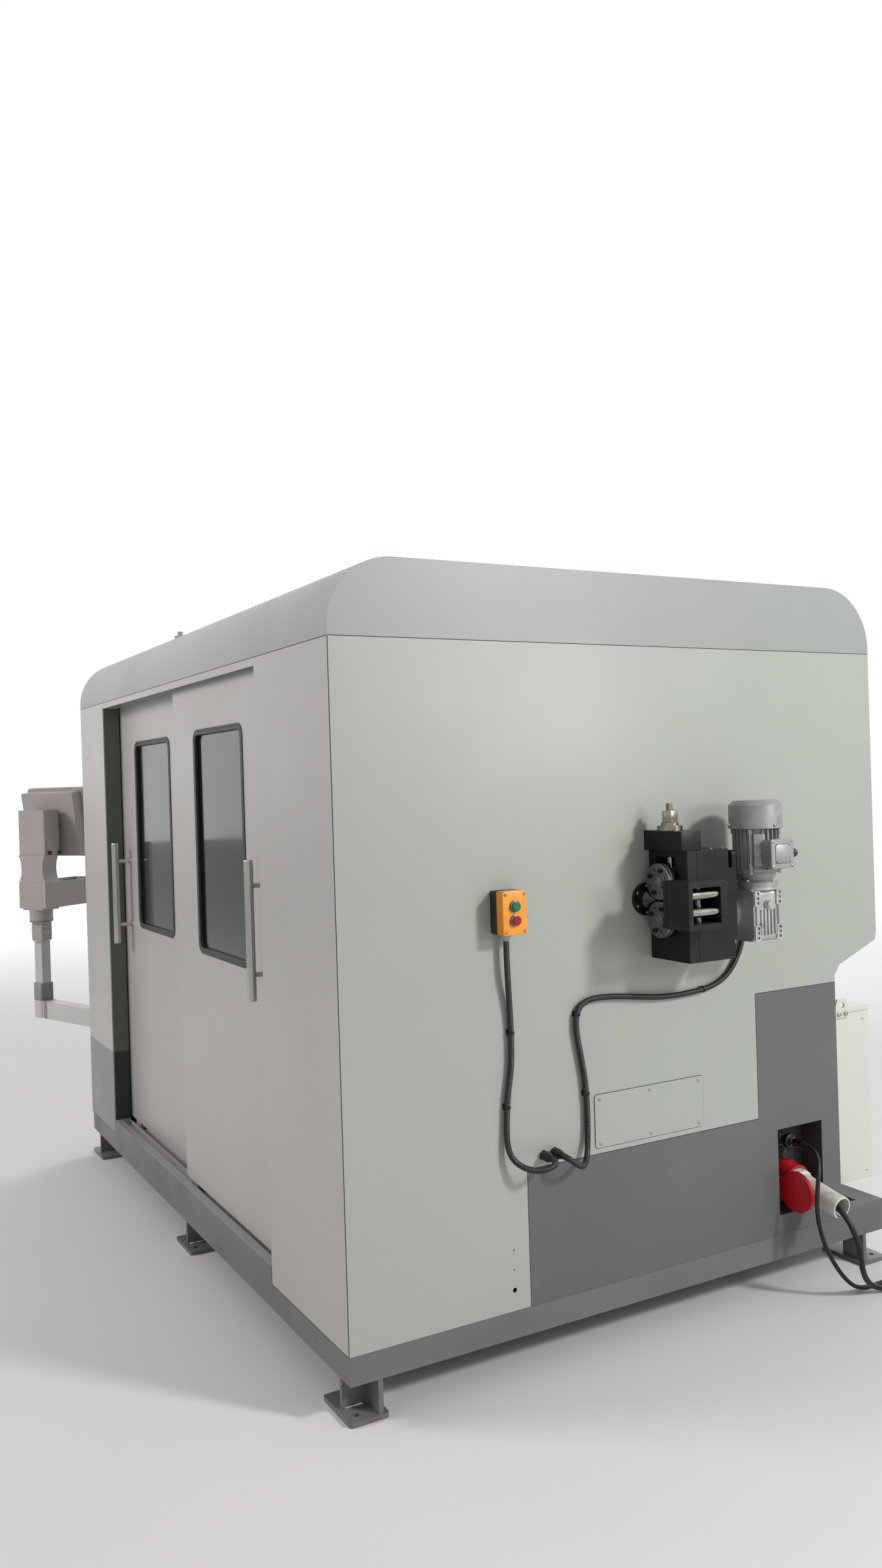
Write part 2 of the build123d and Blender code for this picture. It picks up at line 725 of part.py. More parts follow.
# Pre-feed unit: a cast body on the end panel, split at the cheek that carries the rolls
disc_x = half_length + disc_inset
lower_disc_z = wire_z - wire_gap / 2 - disc_radius
upper_disc_z = wire_z + wire_gap / 2 + disc_radius
disc_back_y = wire_y + disc_width / 2
unit_x = half_length + unit_depth
screw_x = half_length + screw_inset
with BuildPart() as unit_body:
    with BuildSketch(Plane.XY.offset(unit_bottom)):
        with BuildLine():
            Polyline((half_length, unit_left_y), (unit_x, unit_left_y),
                     (unit_x, unit_split_y - 0.6), (unit_x - 1, unit_split_y - 0.6),
                     (unit_x - 1, unit_split_y + 0.6), (unit_x, unit_split_y + 0.6),
                     (unit_x, unit_right_y), (half_length, unit_right_y), close=True)
        make_face()
    extrude(amount=unit_top - unit_bottom)
    chamfer(unit_body.edges().filter_by(Axis.Z).sort_by(Axis.X)[-1], 1.5)
    # Upper right corner cut back, above the gear case
    with BuildSketch(Plane.YZ.offset(half_length)):
        with Locations((unit_right_y - 8, unit_top - 24)):
            Rectangle(17, 50)
    extrude(amount=unit_depth, mode=Mode.SUBTRACT)
    # Gear case on the far side
    with BuildSketch(Plane.XZ.offset(-case_y)):
        with Locations((half_length + 75, 1141.5)):
            RectangleRounded(140, 223, 10)
    extrude(amount=case_y - unit_right_y)
    # Slot for the bearing block, and the lower roll's bore
    with BuildSketch(Plane.XZ.offset(-unit_left_y - slot_depth)):
        with Locations((disc_x, (slot_top + slot_bottom) / 2)):
            RectangleRounded(slot_width, slot_top - slot_bottom, 3)
    extrude(amount=slot_depth, mode=Mode.SUBTRACT)
    with BuildSketch(Plane.XZ.offset(-unit_left_y - 46)):
        with Locations((disc_x, lower_disc_z)):
            Circle(disc_shaft_radius + running_gap)
    extrude(amount=46, mode=Mode.SUBTRACT)
    with BuildSketch(Plane.XY.offset(slot_top - 2)):
        with Locations((screw_x, screw_y)):
            Circle(screw_radius + seat_gap)
    extrude(amount=unit_top - slot_top + 2, mode=Mode.SUBTRACT)
    # Relief for the inlet tube's flange and boss
    with BuildSketch(Plane.YZ.offset(half_length)):
        with Locations((wire_y, wire_z)):
            Circle(inlet_flange + seat_gap)
    extrude(amount=inlet_plate + seat_gap, mode=Mode.SUBTRACT)
    with BuildSketch(Plane.YZ.offset(half_length)):
        with Locations((wire_y, wire_z)):
            Circle(inlet_boss + seat_gap)
    extrude(amount=27, mode=Mode.SUBTRACT)
unit_body.part.label = "unit_body"
export_step(unit_body.part, "parts/unit_body.step")

# Pressure cap: bridge block, turned flange and lock nut round the pressure screw
with BuildPart() as pressure_cap:
    with BuildSketch(Plane.XY.offset(unit_top)):
        with Locations((half_length + 74, (unit_left_y - 15.5 + 78) / 2)):
            Rectangle(148, 78 - unit_left_y + 15.5)
    extrude(amount=cap_height)
    chamfer(pressure_cap.edges().filter_by(Axis.Z), 1.5)
    with BuildSketch(Plane.XY.offset(unit_top + cap_height)):
        with Locations((screw_x, screw_y)):
            Circle(32.5)
    extrude(amount=13)
    with BuildSketch(Plane.XY.offset(unit_top + cap_height + 13)):
        with Locations((screw_x, screw_y)):
            Circle(22.5)
    extrude(amount=8)
    with BuildSketch(Plane.XY.offset(unit_top + cap_height + 21)):
        with Locations((screw_x, screw_y)):
            RegularPolygon(21.5, 6)
    extrude(amount=30)
    with BuildSketch(Plane.XY.offset(unit_top)):
        with Locations((screw_x, screw_y)):
            Circle(screw_radius + seat_gap)
    extrude(amount=cap_height + 60, mode=Mode.SUBTRACT)
pressure_cap.part.label = "pressure_cap"
export_step(pressure_cap.part, "parts/pressure_cap.step")

# Bearing block: slides up and down in the slot, with a round boss for the upper shaft
block_front = disc_back_y + seat_gap
with BuildPart() as bearing_block:
    with BuildSketch(Plane.XZ.offset(-unit_left_y - slot_depth + seat_gap)):
        with Locations((disc_x, upper_disc_z)):
            RectangleRounded(slot_width - 2 * seat_gap, block_height, 5)
    extrude(amount=slot_depth - seat_gap)
    with BuildSketch(Plane.XZ.offset(-unit_left_y)):
        with Locations((disc_x, upper_disc_z)):
            Circle(30)
    extrude(amount=unit_left_y - block_front)
    with BuildSketch(Plane.XZ.offset(-unit_left_y - slot_depth)):
        with Locations((disc_x, upper_disc_z)):
            Circle(disc_shaft_radius + running_gap)
    extrude(amount=slot_depth + unit_left_y - block_front, mode=Mode.SUBTRACT)
bearing_block.part.label = "bearing_block"
export_step(bearing_block.part, "parts/bearing_block.step")

# Pre-feed rolls: grooved discs on stub shafts
for name, roll_z, shaft_end in (("lower_roll", lower_disc_z, unit_left_y + 45),
                                ("upper_roll", upper_disc_z, unit_left_y + slot_depth - 1)):
    with BuildPart() as pre_roll:
        with BuildSketch(Plane.YZ.offset(disc_x)):
            with BuildLine():
                Polyline((disc_back_y - disc_width, roll_z),
                         (disc_back_y - disc_width, roll_z + disc_radius - 2),
                         (disc_back_y - disc_width + 2, roll_z + disc_radius),
                         (wire_y - 1.2, roll_z + disc_radius), (wire_y, roll_z + disc_radius - 1),
                         (wire_y + 1.2, roll_z + disc_radius),
                         (disc_back_y - 1, roll_z + disc_radius),
                         (disc_back_y, roll_z + disc_radius - 1),
                         (disc_back_y, roll_z + disc_shaft_radius),
                         (shaft_end, roll_z + disc_shaft_radius), (shaft_end, roll_z),
                         close=True)
            make_face()
        revolve(axis=Axis((disc_x, 0, roll_z), (0, 1, 0)))
        with BuildSketch(Plane.XZ.offset(-disc_back_y + disc_width)):
            with Locations((disc_x, roll_z)):
                Circle(18.5)
        extrude(amount=1.2)
        # Counterbored bolt holes, with a puller hole between each two
        for bore, turn in ((disc_bolt_bore, disc_bolt_turn), (disc_pin_bore, disc_bolt_turn - 45)):
            with BuildSketch(Plane.XZ.offset(-disc_back_y + disc_width)):
                with Locations((disc_x, roll_z)):
                    with PolarLocations(disc_bolt_radius, 4, start_angle=turn):
                        Circle(bore)
            extrude(amount=-disc_bolt_depth, mode=Mode.SUBTRACT)
    pre_roll.part.label = name
    export_step(pre_roll.part, f"parts/{name}.step")

# Pressure screw: shank down to the bearing block, square head on top
block_top = upper_disc_z + block_height / 2
nut_top = unit_top + cap_height + 51
with BuildPart() as pressure_screw:
    with BuildSketch(Plane.XY.offset(block_top + seat_gap)):
        with Locations((screw_x, screw_y)):
            Circle(screw_radius)
    extrude(amount=nut_top + 3 - block_top - seat_gap)
    with BuildSketch(Plane.XY.offset(nut_top + 3)):
        with Locations((screw_x, screw_y)):
            Rectangle(12.5, 12.5)
    extrude(amount=16)
    chamfer(pressure_screw.faces().sort_by(Axis.Z)[-1].edges(), 1)
pressure_screw.part.label = "pressure_screw"
export_step(pressure_screw.part, "parts/pressure_screw.step")

# Guide box: a milled frame with a through window for the four guide rollers
guide_out_x = half_length + guide_reach
guide_back_x = half_length + guide_back
roller_x = guide_out_x - roller_inset
upright_x = guide_out_x - upright_inset
with BuildPart() as guide_box:
    with BuildSketch(Plane.XY.offset(guide_bottom)):
        with BuildLine():
            Polyline((guide_back_x, guide_left_y), (guide_back_x + 14, guide_left_y),
                     (guide_back_x + 14, guide_left_y + 1), (guide_back_x + 15.5, guide_left_y + 1),
                     (guide_back_x + 15.5, guide_left_y), (guide_out_x, guide_left_y),
                     (guide_out_x, guide_right_y), (unit_x + 12, guide_right_y),
                     (unit_x + 12, guide_plate_y), (unit_x, guide_plate_y),
                     (unit_x, unit_left_y - 1), (guide_back_x, unit_left_y - 1), close=True)
        make_face()
    extrude(amount=guide_top - guide_bottom)
    with BuildSketch(Plane.YZ.offset(unit_x + 8)):
        with Locations(((guide_win_left + guide_win_right) / 2,
                        (guide_win_bottom + guide_win_top) / 2)):
            Rectangle(guide_win_right - guide_win_left, guide_win_top - guide_win_bottom)
    extrude(amount=guide_out_x - unit_x - 8, mode=Mode.SUBTRACT)
    with BuildSketch(Plane.YZ.offset(guide_back_x)):
        with Locations((wire_y, wire_z)):
            Circle(6)
    extrude(amount=unit_x + 8 - guide_back_x, mode=Mode.SUBTRACT)
    # Pin bores for the level and the upright rollers
    with BuildSketch(Plane.XZ.offset(-guide_win_right - pin_depth)):
        with Locations((roller_x, roller_upper_z), (roller_x, roller_lower_z)):
            Circle(pin_radius + running_gap)
    extrude(amount=guide_win_right - guide_win_left + 2 * pin_depth, mode=Mode.SUBTRACT)
    with BuildSketch(Plane.XY.offset(guide_win_bottom - pin_depth)):
        with Locations((upright_x, wire_y - upright_spread), (upright_x, wire_y + upright_spread)):
            Circle(pin_radius + running_gap)
    extrude(amount=guide_win_top - guide_win_bottom + 2 * pin_depth, mode=Mode.SUBTRACT)
guide_box.part.label = "guide_box"
export_step(guide_box.part, "parts/guide_box.step")

# Guide rollers: two level ones in front, two upright ones behind
for name, roll_z in (("upper_guide_roller", roller_upper_z),
                     ("lower_guide_roller", roller_lower_z)):
    with BuildPart() as level_roller:
        with BuildSketch(Plane.XZ.offset(-guide_win_right + seat_gap)):
            with Locations((roller_x, roll_z)):
                Circle(roller_radius)
        extrude(amount=guide_win_right - guide_win_left - 2 * seat_gap)
        chamfer(level_roller.edges().filter_by(GeomType.CIRCLE), 1)
        with BuildSketch(Plane.XZ.offset(-guide_win_right - pin_depth + seat_gap)):
            with Locations((roller_x, roll_z)):
                Circle(pin_radius)
        extrude(amount=guide_win_right - guide_win_left + 2 * (pin_depth - seat_gap))
    level_roller.part.label = name
    export_step(level_roller.part, f"parts/{name}.step")

for name, roll_y in (("front_guide_roller", wire_y - upright_spread),
                     ("rear_guide_roller", wire_y + upright_spread)):
    with BuildPart() as upright_roller:
        with BuildSketch(Plane.XY.offset(guide_win_bottom + seat_gap)):
            with Locations((upright_x, roll_y)):
                Circle(upright_radius)
        extrude(amount=guide_win_top - guide_win_bottom - 2 * seat_gap)
        chamfer(upright_roller.edges().filter_by(GeomType.CIRCLE), 1)
        with BuildSketch(Plane.XY.offset(guide_win_bottom - pin_depth + seat_gap)):
            with Locations((upright_x, roll_y)):
                Circle(pin_radius)
        extrude(amount=guide_win_top - guide_win_bottom + 2 * (pin_depth - seat_gap))
    upright_roller.part.label = name
    export_step(upright_roller.part, f"parts/{name}.step")

# Inlet tube: flanged bush that leads the wire through the end panel
with BuildPart() as inlet_tube:
    with BuildSketch(Plane.XZ.offset(-wire_y)):
        with BuildLine():
            Polyline((half_length - 40, wire_z + tube_bore), (half_length - 40, wire_z + 16),
                     (half_length - sheet, wire_z + 16),
                     (half_length - sheet, wire_z + inlet_bore - 0.5),
                     (half_length, wire_z + inlet_bore - 0.5),
                     (half_length, wire_z + inlet_flange),
                     (half_length + inlet_plate, wire_z + inlet_flange),
                     (half_length + inlet_plate, wire_z + inlet_boss),
                     (half_length + 20, wire_z + inlet_boss), (half_length + 32, wire_z + 12),
                     (half_length + 46, wire_z + 4.4), (half_length + 46, wire_z + 2.5),
                     (half_length + 20, wire_z + tube_bore), close=True)
        make_face()
    revolve(axis=Axis((0, wire_y, wire_z), (1, 0, 0)))
inlet_tube.part.label = "inlet_tube"
export_step(inlet_tube.part, "parts/inlet_tube.step")

# Worm gearbox: ribbed housing with a flanged snout to the gear case
motor_x = half_length + motor_inset
gearbox_x = half_length + gearbox_inset
gearbox_mid_x = gearbox_x + gearbox_width / 2
gearbox_mid_y = (gearbox_front_y + gearbox_back_y) / 2
with BuildPart() as gearbox_housing:
    with BuildSketch(Plane.XZ.offset(-gearbox_back_y)):
        with Locations((gearbox_mid_x, (gearbox_bottom + gearbox_top) / 2)):
            RectangleRounded(gearbox_width, gearbox_top - gearbox_bottom, 14)
    extrude(amount=gearbox_back_y - gearbox_front_y)
    chamfer(gearbox_housing.faces().sort_by(Axis.Y)[-1].edges(), 4)
    # Output snout on the lower roll's axis
    with BuildSketch(Plane.YZ.offset(disc_x)):
        with BuildLine():
            Polyline((case_y, lower_disc_z), (case_y, lower_disc_z + flange_radius),
                     (case_y + 9, lower_disc_z + flange_radius), (case_y + 13, lower_disc_z + 42),
                     (gearbox_front_y + 2, lower_disc_z + 48), (gearbox_front_y + 2, lower_disc_z),
                     close=True)
        make_face()
    revolve(axis=Axis((disc_x, 0, lower_disc_z), (0, 1, 0)))
    # Far bearing cover
    with BuildSketch(Plane.XZ.offset(-gearbox_back_y - 5)):
        with Locations((disc_x, lower_disc_z)):
            Circle(44)
    extrude(amount=5)
    # Input flange under the motor
    with BuildSketch(Plane.XY.offset(gearbox_top - 2)):
        with Locations((motor_x, motor_y)):
            Circle(flange_radius - 3)
    extrude(amount=motor_flange_z - gearbox_top + 2)
    # On the outer face: upright ribs, edge rails with slotted pads, and the oil plug
    with BuildSketch(Plane.YZ.offset(gearbox_x + gearbox_width)):
        for rib in (-2, -1, 0, 1, 2):
            with Locations((gearbox_mid_y + rib * rib_step, gearbox_bottom + 49)):
                Rectangle(4, 66)
        for pad_y in (gearbox_front_y + pad_inset, gearbox_back_y - pad_inset):
            with Locations((pad_y, (gearbox_bottom + gearbox_top) / 2)):
                Rectangle(8, gearbox_top - gearbox_bottom - 10)
            for pad_z in (gearbox_bottom + 3 + pad_height / 2, gearbox_top - 3 - pad_height / 2):
                with Locations((pad_y, pad_z)):
                    RectangleRounded(pad_width, pad_height, 2)
                    for slot in (-1, 0, 1):
                        with Locations((0, slot * pad_height * 0.31)):
                            Rectangle(pad_width - 8, pad_height * 0.2, mode=Mode.SUBTRACT)
    extrude(amount=face_relief)
    with BuildSketch(Plane.YZ.offset(gearbox_x + gearbox_width)):
        with Locations((gearbox_mid_y, gearbox_top - 39)):
            Circle(12)
    extrude(amount=face_relief)
    with BuildSketch(Plane.YZ.offset(gearbox_x + gearbox_width + face_relief)):
        with Locations((gearbox_mid_y, gearbox_top - 39)):
            RegularPolygon(9.5, 6)
    extrude(amount=8)
gearbox_housing.part.label = "gearbox_housing"
export_step(gearbox_housing.part, "parts/gearbox_housing.step")

# Feed motor: flange, finned body and fan cover as one sealed unit
with BuildPart() as feed_motor:
    with BuildSketch(Plane.XZ.offset(-motor_y)):
        with BuildLine():
            Polyline((motor_x, motor_flange_z), (motor_x + flange_radius, motor_flange_z),
                     (motor_x + flange_radius, motor_flange_z + 11),
                     (motor_x + 44, motor_flange_z + 16), (motor_x + 50, motor_body_z - 12),
                     (motor_x + 58, motor_body_z - 8), (motor_x + 58, motor_body_z),
                     (motor_x + motor_body_radius, motor_body_z),
                     (motor_x + motor_body_radius, fan_cover_z),
                     (motor_x + fan_cover_radius, fan_cover_z),
                     (motor_x + fan_cover_radius, fan_cover_top - 12),
                     (motor_x + fan_cover_radius - 12, fan_cover_top),
                     (motor_x, fan_cover_top), close=True)
        make_face()
    revolve(axis=Axis((motor_x, motor_y, 0), (0, 0, 1)))
    with BuildSketch(Plane.XY.offset(motor_body_z)):
        with Locations((motor_x, motor_y)):
            with PolarLocations(motor_body_radius + fin_reach / 2 - 1, 26):
                Rectangle(fin_reach + 2, 2.6)
    extrude(amount=fan_cover_z - motor_body_z)
    # Pad for the terminal box
    with BuildSketch(Plane.YZ.offset(motor_x + 40)):
        with Locations((terminal_y + terminal_width / 2, terminal_bottom + terminal_height / 2)):
            RectangleRounded(62, 64, 5)
    extrude(amount=25)
    # Cooling holes in the fan cover
    with BuildSketch(Plane.XY.offset(fan_cover_top - 3)):
        with Locations((motor_x, motor_y)):
            with PolarLocations(40, 10):
                Circle(5)
    extrude(amount=3, mode=Mode.SUBTRACT)
feed_motor.part.label = "feed_motor"
export_step(feed_motor.part, "parts/feed_motor.step")

terminal_x = motor_x + 65
terminal_mid = (terminal_y + terminal_width / 2, terminal_bottom + terminal_height / 2)
with BuildPart() as terminal_box:
    with BuildSketch(Plane.YZ.offset(terminal_x)):
        with Locations(terminal_mid):
            RectangleRounded(terminal_width - 4, terminal_height - 4, 6)
    extrude(amount=terminal_depth - 8)
    with BuildSketch(Plane.YZ.offset(terminal_x + terminal_depth - 8)):
        with Locations(terminal_mid):
            RectangleRounded(terminal_width, terminal_height, 7)
    extrude(amount=8)
    chamfer(terminal_box.faces().sort_by(Axis.X)[-1].edges(), 1.5)
    with BuildSketch(Plane.YZ.offset(terminal_x + terminal_depth - 1.5)):
        with Locations(terminal_mid):
            RectangleRounded(terminal_width - 26, terminal_height - 26, 5)
    extrude(amount=1.5, mode=Mode.SUBTRACT)
terminal_box.part.label = "terminal_box"
export_step(terminal_box.part, "parts/terminal_box.step")

# Push-button box: back shell and lid with their seam, and two bezels
button_mid_z = button_box_bottom + button_box_height / 2
button_front_x = half_length + button_box_depth
well_depth = 14.0
with BuildPart() as button_box:
    with BuildSketch(Plane.YZ.offset(half_length)):
        with Locations((button_y, button_mid_z)):
            RectangleRounded(button_box_width, button_box_height, 5)
    extrude(amount=button_box_back)
    with BuildSketch(Plane.YZ.offset(half_length + button_box_back)):
        with Locations((button_y, button_mid_z)):
            RectangleRounded(button_box_width - 1.6, button_box_height - 1.6, 4)
    extrude(amount=1)
    with BuildSketch(Plane.YZ.offset(half_length + button_box_back + 1)):
        with Locations((button_y, button_mid_z)):
            RectangleRounded(button_box_width, button_box_height, 5)
    extrude(amount=button_box_depth - button_box_back - 1)
    chamfer(button_box.faces().sort_by(Axis.X)[-1].edges(), 1.2)
    with BuildSketch(Plane.YZ.offset(button_front_x)):
        with Locations((button_y, green_z), (button_y, red_z)):
            Circle(bezel_radius)
    extrude(amount=bezel_height)
    with BuildSketch(Plane.YZ.offset(button_front_x - well_depth)):
        with Locations((button_y, green_z), (button_y, red_z)):
            Circle(button_radius + seat_gap)
    extrude(amount=well_depth + bezel_height, mode=Mode.SUBTRACT)
button_box.part.label = "button_box"
export_step(button_box.part, "parts/button_box.step")

for name, cap_z in (("green_button", green_z), ("red_button", red_z)):
    with BuildPart() as push_button:
        with BuildSketch(Plane.YZ.offset(button_front_x - well_depth + button_travel + 0.5)):
            with Locations((button_y, cap_z)):
                Circle(button_radius)
        extrude(amount=well_depth - button_travel - 0.5 + bezel_height + 6)
        chamfer(push_button.faces().sort_by(Axis.X)[-1].edges(), 1.2)
    push_button.part.label = name
    export_step(push_button.part, f"parts/{name}.step")

# Cable fittings: glands on the panel, the button box and the motor, and ties
gland_radius = 12.75
gland_length = 35.0
conduit_radius = 7.5
wall_glands = ((-328, 522), (-296, 524))
motor_gland_z = 1232.0
blind_gland_z = 1240.0
blind_gland_radius = 10.0
terminal_right = terminal_y + terminal_width


def off_panel(*points):
    """A conduit's points, the first value of each being how far it stands off the end panel."""
    return [(half_length + out, y, z) for out, y, z in points]


conduit_1 = off_panel(
    (22, -432, 1063), (22, -432, 1022), (21, -430, 975), (14, -424, 925), (10, -419, 867),
    (10.3, -418.5, 809), (10, -421, 750), (10.2, -433, 690), (10, -438, 630), (12, -441, 576),
    (21, -436, 540), (37, -414, 516), (58, -386, 508), (72, -356, 513), (63, -328, 522),
    (35, -328, 522))
conduit_2 = off_panel(
    (35, -296, 524), (57, -296, 524), (68, -279, 510), (57, -254, 494), (35, -227, 492),
    (17, -207, 514), (10, -200, 562), (10.3, -199, 626), (10, -203, 690), (10.2, -213, 748),
    (10, -223, 800), (10.3, -227, 842), (10, -217, 876), (10.2, -186, 892), (10, -138, 893),
    (10.2, -89, 889), (10, -30, 881), (10.3, 30, 873), (10, 95, 870), (10.3, 160, 873),
    (10, 220, 880), (10.4, 268, 899), (10, 305, 934), (10.5, 333, 985), (10, 346, 1048),
    (10.6, 349, 1112), (10, 339, 1166), (10, 318, 1203), (12, 298, 1223), (22, 288, 1232),
    (43, 288, 1232))
ties = ((conduit_1, 4), (conduit_1, 7), (conduit_2, 7), (conduit_2, 11), (conduit_2, 19))
tie_wall = 1.7
tie_width = 5.0
with BuildPart() as cable_fittings:
    for gland_y, gland_z in wall_glands:
        with BuildSketch(Plane.XZ.offset(-gland_y)):
            with BuildLine():
                Polyline((half_length, gland_z), (half_length, gland_z + gland_radius),
                         (half_length + 10, gland_z + gland_radius),
                         (half_length + 10, gland_z + gland_radius - 1),
                         (half_length + 22, gland_z + gland_radius),
                         (half_length + gland_length, gland_z + 9),
                         (half_length + gland_length, gland_z), close=True)
            make_face()
        revolve(axis=Axis((0, gland_y, gland_z), (1, 0, 0)))
    # Under the button box
    with BuildSketch(Plane.XZ.offset(432)):
        with BuildLine():
            Polyline((half_length + 22, button_box_bottom),
                     (half_length + 35, button_box_bottom),
                     (half_length + 35, button_box_bottom - 5),
                     (half_length + 30, button_box_bottom - 17),
                     (half_length + 22, button_box_bottom - 17), close=True)
        make_face()
    revolve(axis=Axis((half_length + 22, -432, 0), (0, 0, 1)))
    # Behind the motor, and the blind one on the terminal box
    with BuildSketch(Plane.XZ.offset(-motor_y)):
        with BuildLine():
            Polyline((motor_x - 61.2, motor_gland_z), (motor_x - 61.2, motor_gland_z + 11),
                     (motor_x - 72, motor_gland_z + 11), (motor_x - 80, motor_gland_z + 8.5),
                     (motor_x - 80, motor_gland_z), close=True)
        make_face()
    revolve(axis=Axis((0, motor_y, motor_gland_z), (1, 0, 0)))
    with BuildSketch(Plane.YZ.offset(terminal_x + 13)):
        with BuildLine():
            Polyline((terminal_right - 2, blind_gland_z),
                     (terminal_right - 2, blind_gland_z + blind_gland_radius),
                     (terminal_right + 9, blind_gland_z + blind_gland_radius),
                     (terminal_right + 14, blind_gland_z + blind_gland_radius - 4),
                     (terminal_right + 14, blind_gland_z), close=True)
        make_face()
    revolve(axis=Axis((terminal_x + 13, 0, blind_gland_z), (0, 1, 0)))
    # Ties round the conduits, each with its lock and a pad stuck to the panel
    for route, run in ties:
        start, end = Vector(*route[run]), Vector(*route[run + 1])
        middle = (start + end) / 2
        along = Vector(0, end.Y - start.Y, end.Z - start.Z).normalized()
        tie_plane = Plane(origin=middle, x_dir=(1, 0, 0), z_dir=along)
        with BuildSketch(tie_plane.offset(-tie_width / 2)):
            Circle(conduit_radius + tie_wall)
            with Locations((conduit_radius + tie_wall, 0)):
                Rectangle(4, 5)
            Circle(conduit_radius + seat_gap, mode=Mode.SUBTRACT)
        extrude(amount=tie_width)
        with BuildSketch(Plane(origin=(half_length, middle.Y, middle.Z), x_dir=along,
                               z_dir=(1, 0, 0))):
            RectangleRounded(17, 15, 2)
        extrude(amount=middle.X - half_length - conduit_radius - seat_gap - 0.6)
cable_fittings.part.label = "cable_fittings"
export_step(cable_fittings.part, "parts/cable_fittings.step")

# Corrugated conduits: from the button box, and from the motor, each to a gland on the panel
with BuildPart() as conduits:
    for route in (conduit_1, conduit_2):
        pts, radii = path_of(route)
        print("conduit arcs", min(radii), "to", max(radii))
        with BuildLine():
            path = FilletPolyline(*pts, radius=radii)
        with BuildSketch(Plane(origin=path @ 0, z_dir=path % 0)):
            Circle(conduit_radius)
        sweep(path=path)
conduits.part.label = "conduits"
export_step(conduits.part, "parts/conduits.step")

# Control connector: flanged receptacle, coupling ring, nut and gland, with its cap strap
lean = radians(socket_tilt)
out = Vector(cos(lean), 0, -sin(lean))
mouth = Vector(recess_back_x + 60, socket_y, socket_z)
socket_plane = Plane(origin=mouth, x_dir=(0, 1, 0), z_dir=out)
body_radius = plug_radius + 6
strap_x = recess_back_x + 22
strap_high = connector_z - 20
strap_low = socket_z + (mouth.X - strap_x) * tan(lean) + body_radius / cos(lean) + seat_gap
with BuildPart() as control_connector:
    with BuildSketch(Plane.YZ.offset(recess_back_x)):
        with Locations((connector_y, connector_z)):
            RectangleRounded(34, 34, 3)
    extrude(amount=4)
    with BuildSketch(Plane.XZ.offset(-connector_y)):
        with BuildLine():
            Polyline((recess_back_x + 4, connector_z), (recess_back_x + 4, connector_z + 15),
                     (recess_back_x + 18, connector_z + 15),
                     (recess_back_x + 18, connector_z + 21),
                     (recess_back_x + 32, connector_z + 21),
                     (recess_back_x + 32, connector_z + 13),
                     (recess_back_x + 54, connector_z + 13),
                     (recess_back_x + 58, connector_z + 10),
                     (recess_back_x + 80, connector_z + 10), (recess_back_x + 80, connector_z),
                     close=True)
        make_face()
    revolve(axis=Axis((0, connector_y, connector_z), (1, 0, 0)))
    with BuildSketch(Plane.YZ.offset(strap_x)):
        with Locations((connector_y, (strap_high + strap_low) / 2)):
            Rectangle(13, strap_high - strap_low)
    extrude(amount=2.5)
control_connector.part.label = "control_connector"
export_step(control_connector.part, "parts/control_connector.step")

# Supply socket: square flange with a round mouth tilted down, hinge lugs on its left
hinge_x = -plug_radius - 19
hinge_s = -15.0
with BuildPart() as power_socket:
    with BuildSketch(socket_plane.offset(-70)):
        Circle(body_radius)
    extrude(amount=62)
    with BuildSketch(socket_plane.offset(-14)):
        Circle(body_radius + 2)
    extrude(amount=6)
    with BuildSketch(socket_plane.offset(hinge_s - 6)):
        with Locations((hinge_x / 2 - 22, 0)):
            Rectangle(-hinge_x - 32, 22)
    extrude(amount=12)
    split(bisect_by=Plane.YZ.offset(recess_back_x + 3), keep=Keep.TOP)
    with BuildSketch(Plane.YZ.offset(recess_back_x)):
        with Locations((socket_y, socket_z)):
            RectangleRounded(86, 86, 8)
    extrude(amount=6)
    with BuildSketch(socket_plane.offset(-socket_depth)):
        Circle(plug_radius + 0.5)
    extrude(amount=socket_depth, mode=Mode.SUBTRACT)
    hinge_mid = socket_plane.from_local_coords(Vector(hinge_x, 0, hinge_s))
    pin_plane = Plane(origin=hinge_mid, x_dir=(0, 1, 0), z_dir=socket_plane.y_dir)
    with BuildSketch(pin_plane.offset(-22)):
        Circle(3)
    extrude(amount=44)
power_socket.part.label = "power_socket"
export_step(power_socket.part, "parts/power_socket.step")

# Socket lid: a dished round cover, swung open beside the plug
swing = radians(lid_open)
lid_dir = socket_plane.x_dir * cos(swing) + out * sin(swing)
lid_norm = socket_plane.x_dir * -sin(swing) + out * cos(swing)
lid_mid = hinge_mid + lid_dir * (lid_radius + 2)
lid_plane = Plane(origin=lid_mid, x_dir=socket_plane.y_dir, z_dir=lid_norm)
with BuildPart() as socket_lid:
    with BuildSketch(lid_plane.offset(-lid_thick / 2)):
        Circle(lid_radius)
    extrude(amount=lid_thick)
    chamfer(socket_lid.faces().sort_by(Axis.Y)[0].edges(), 1.5)
    with BuildSketch(lid_plane.offset(-lid_thick / 2)):
        Circle(lid_radius - 6)
    extrude(amount=lid_thick - 4, mode=Mode.SUBTRACT)
    # Two knuckles on the pin, clear of the socket's lug between them
    with BuildSketch(pin_plane.offset(-20)):
        Circle(6)
        with Locations((0, 0)):
            Circle(3 + running_gap, mode=Mode.SUBTRACT)
    extrude(amount=8)
    with BuildSketch(pin_plane.offset(12)):
        Circle(6)
        with Locations((0, 0)):
            Circle(3 + running_gap, mode=Mode.SUBTRACT)
    extrude(amount=8)
    with BuildSketch(pin_plane.offset(-22)):
        Circle(3 + running_gap)
    extrude(amount=44, mode=Mode.SUBTRACT)
    with BuildSketch(pin_plane.offset(-11.6)):
        Circle(13)
    extrude(amount=23.2, mode=Mode.SUBTRACT)
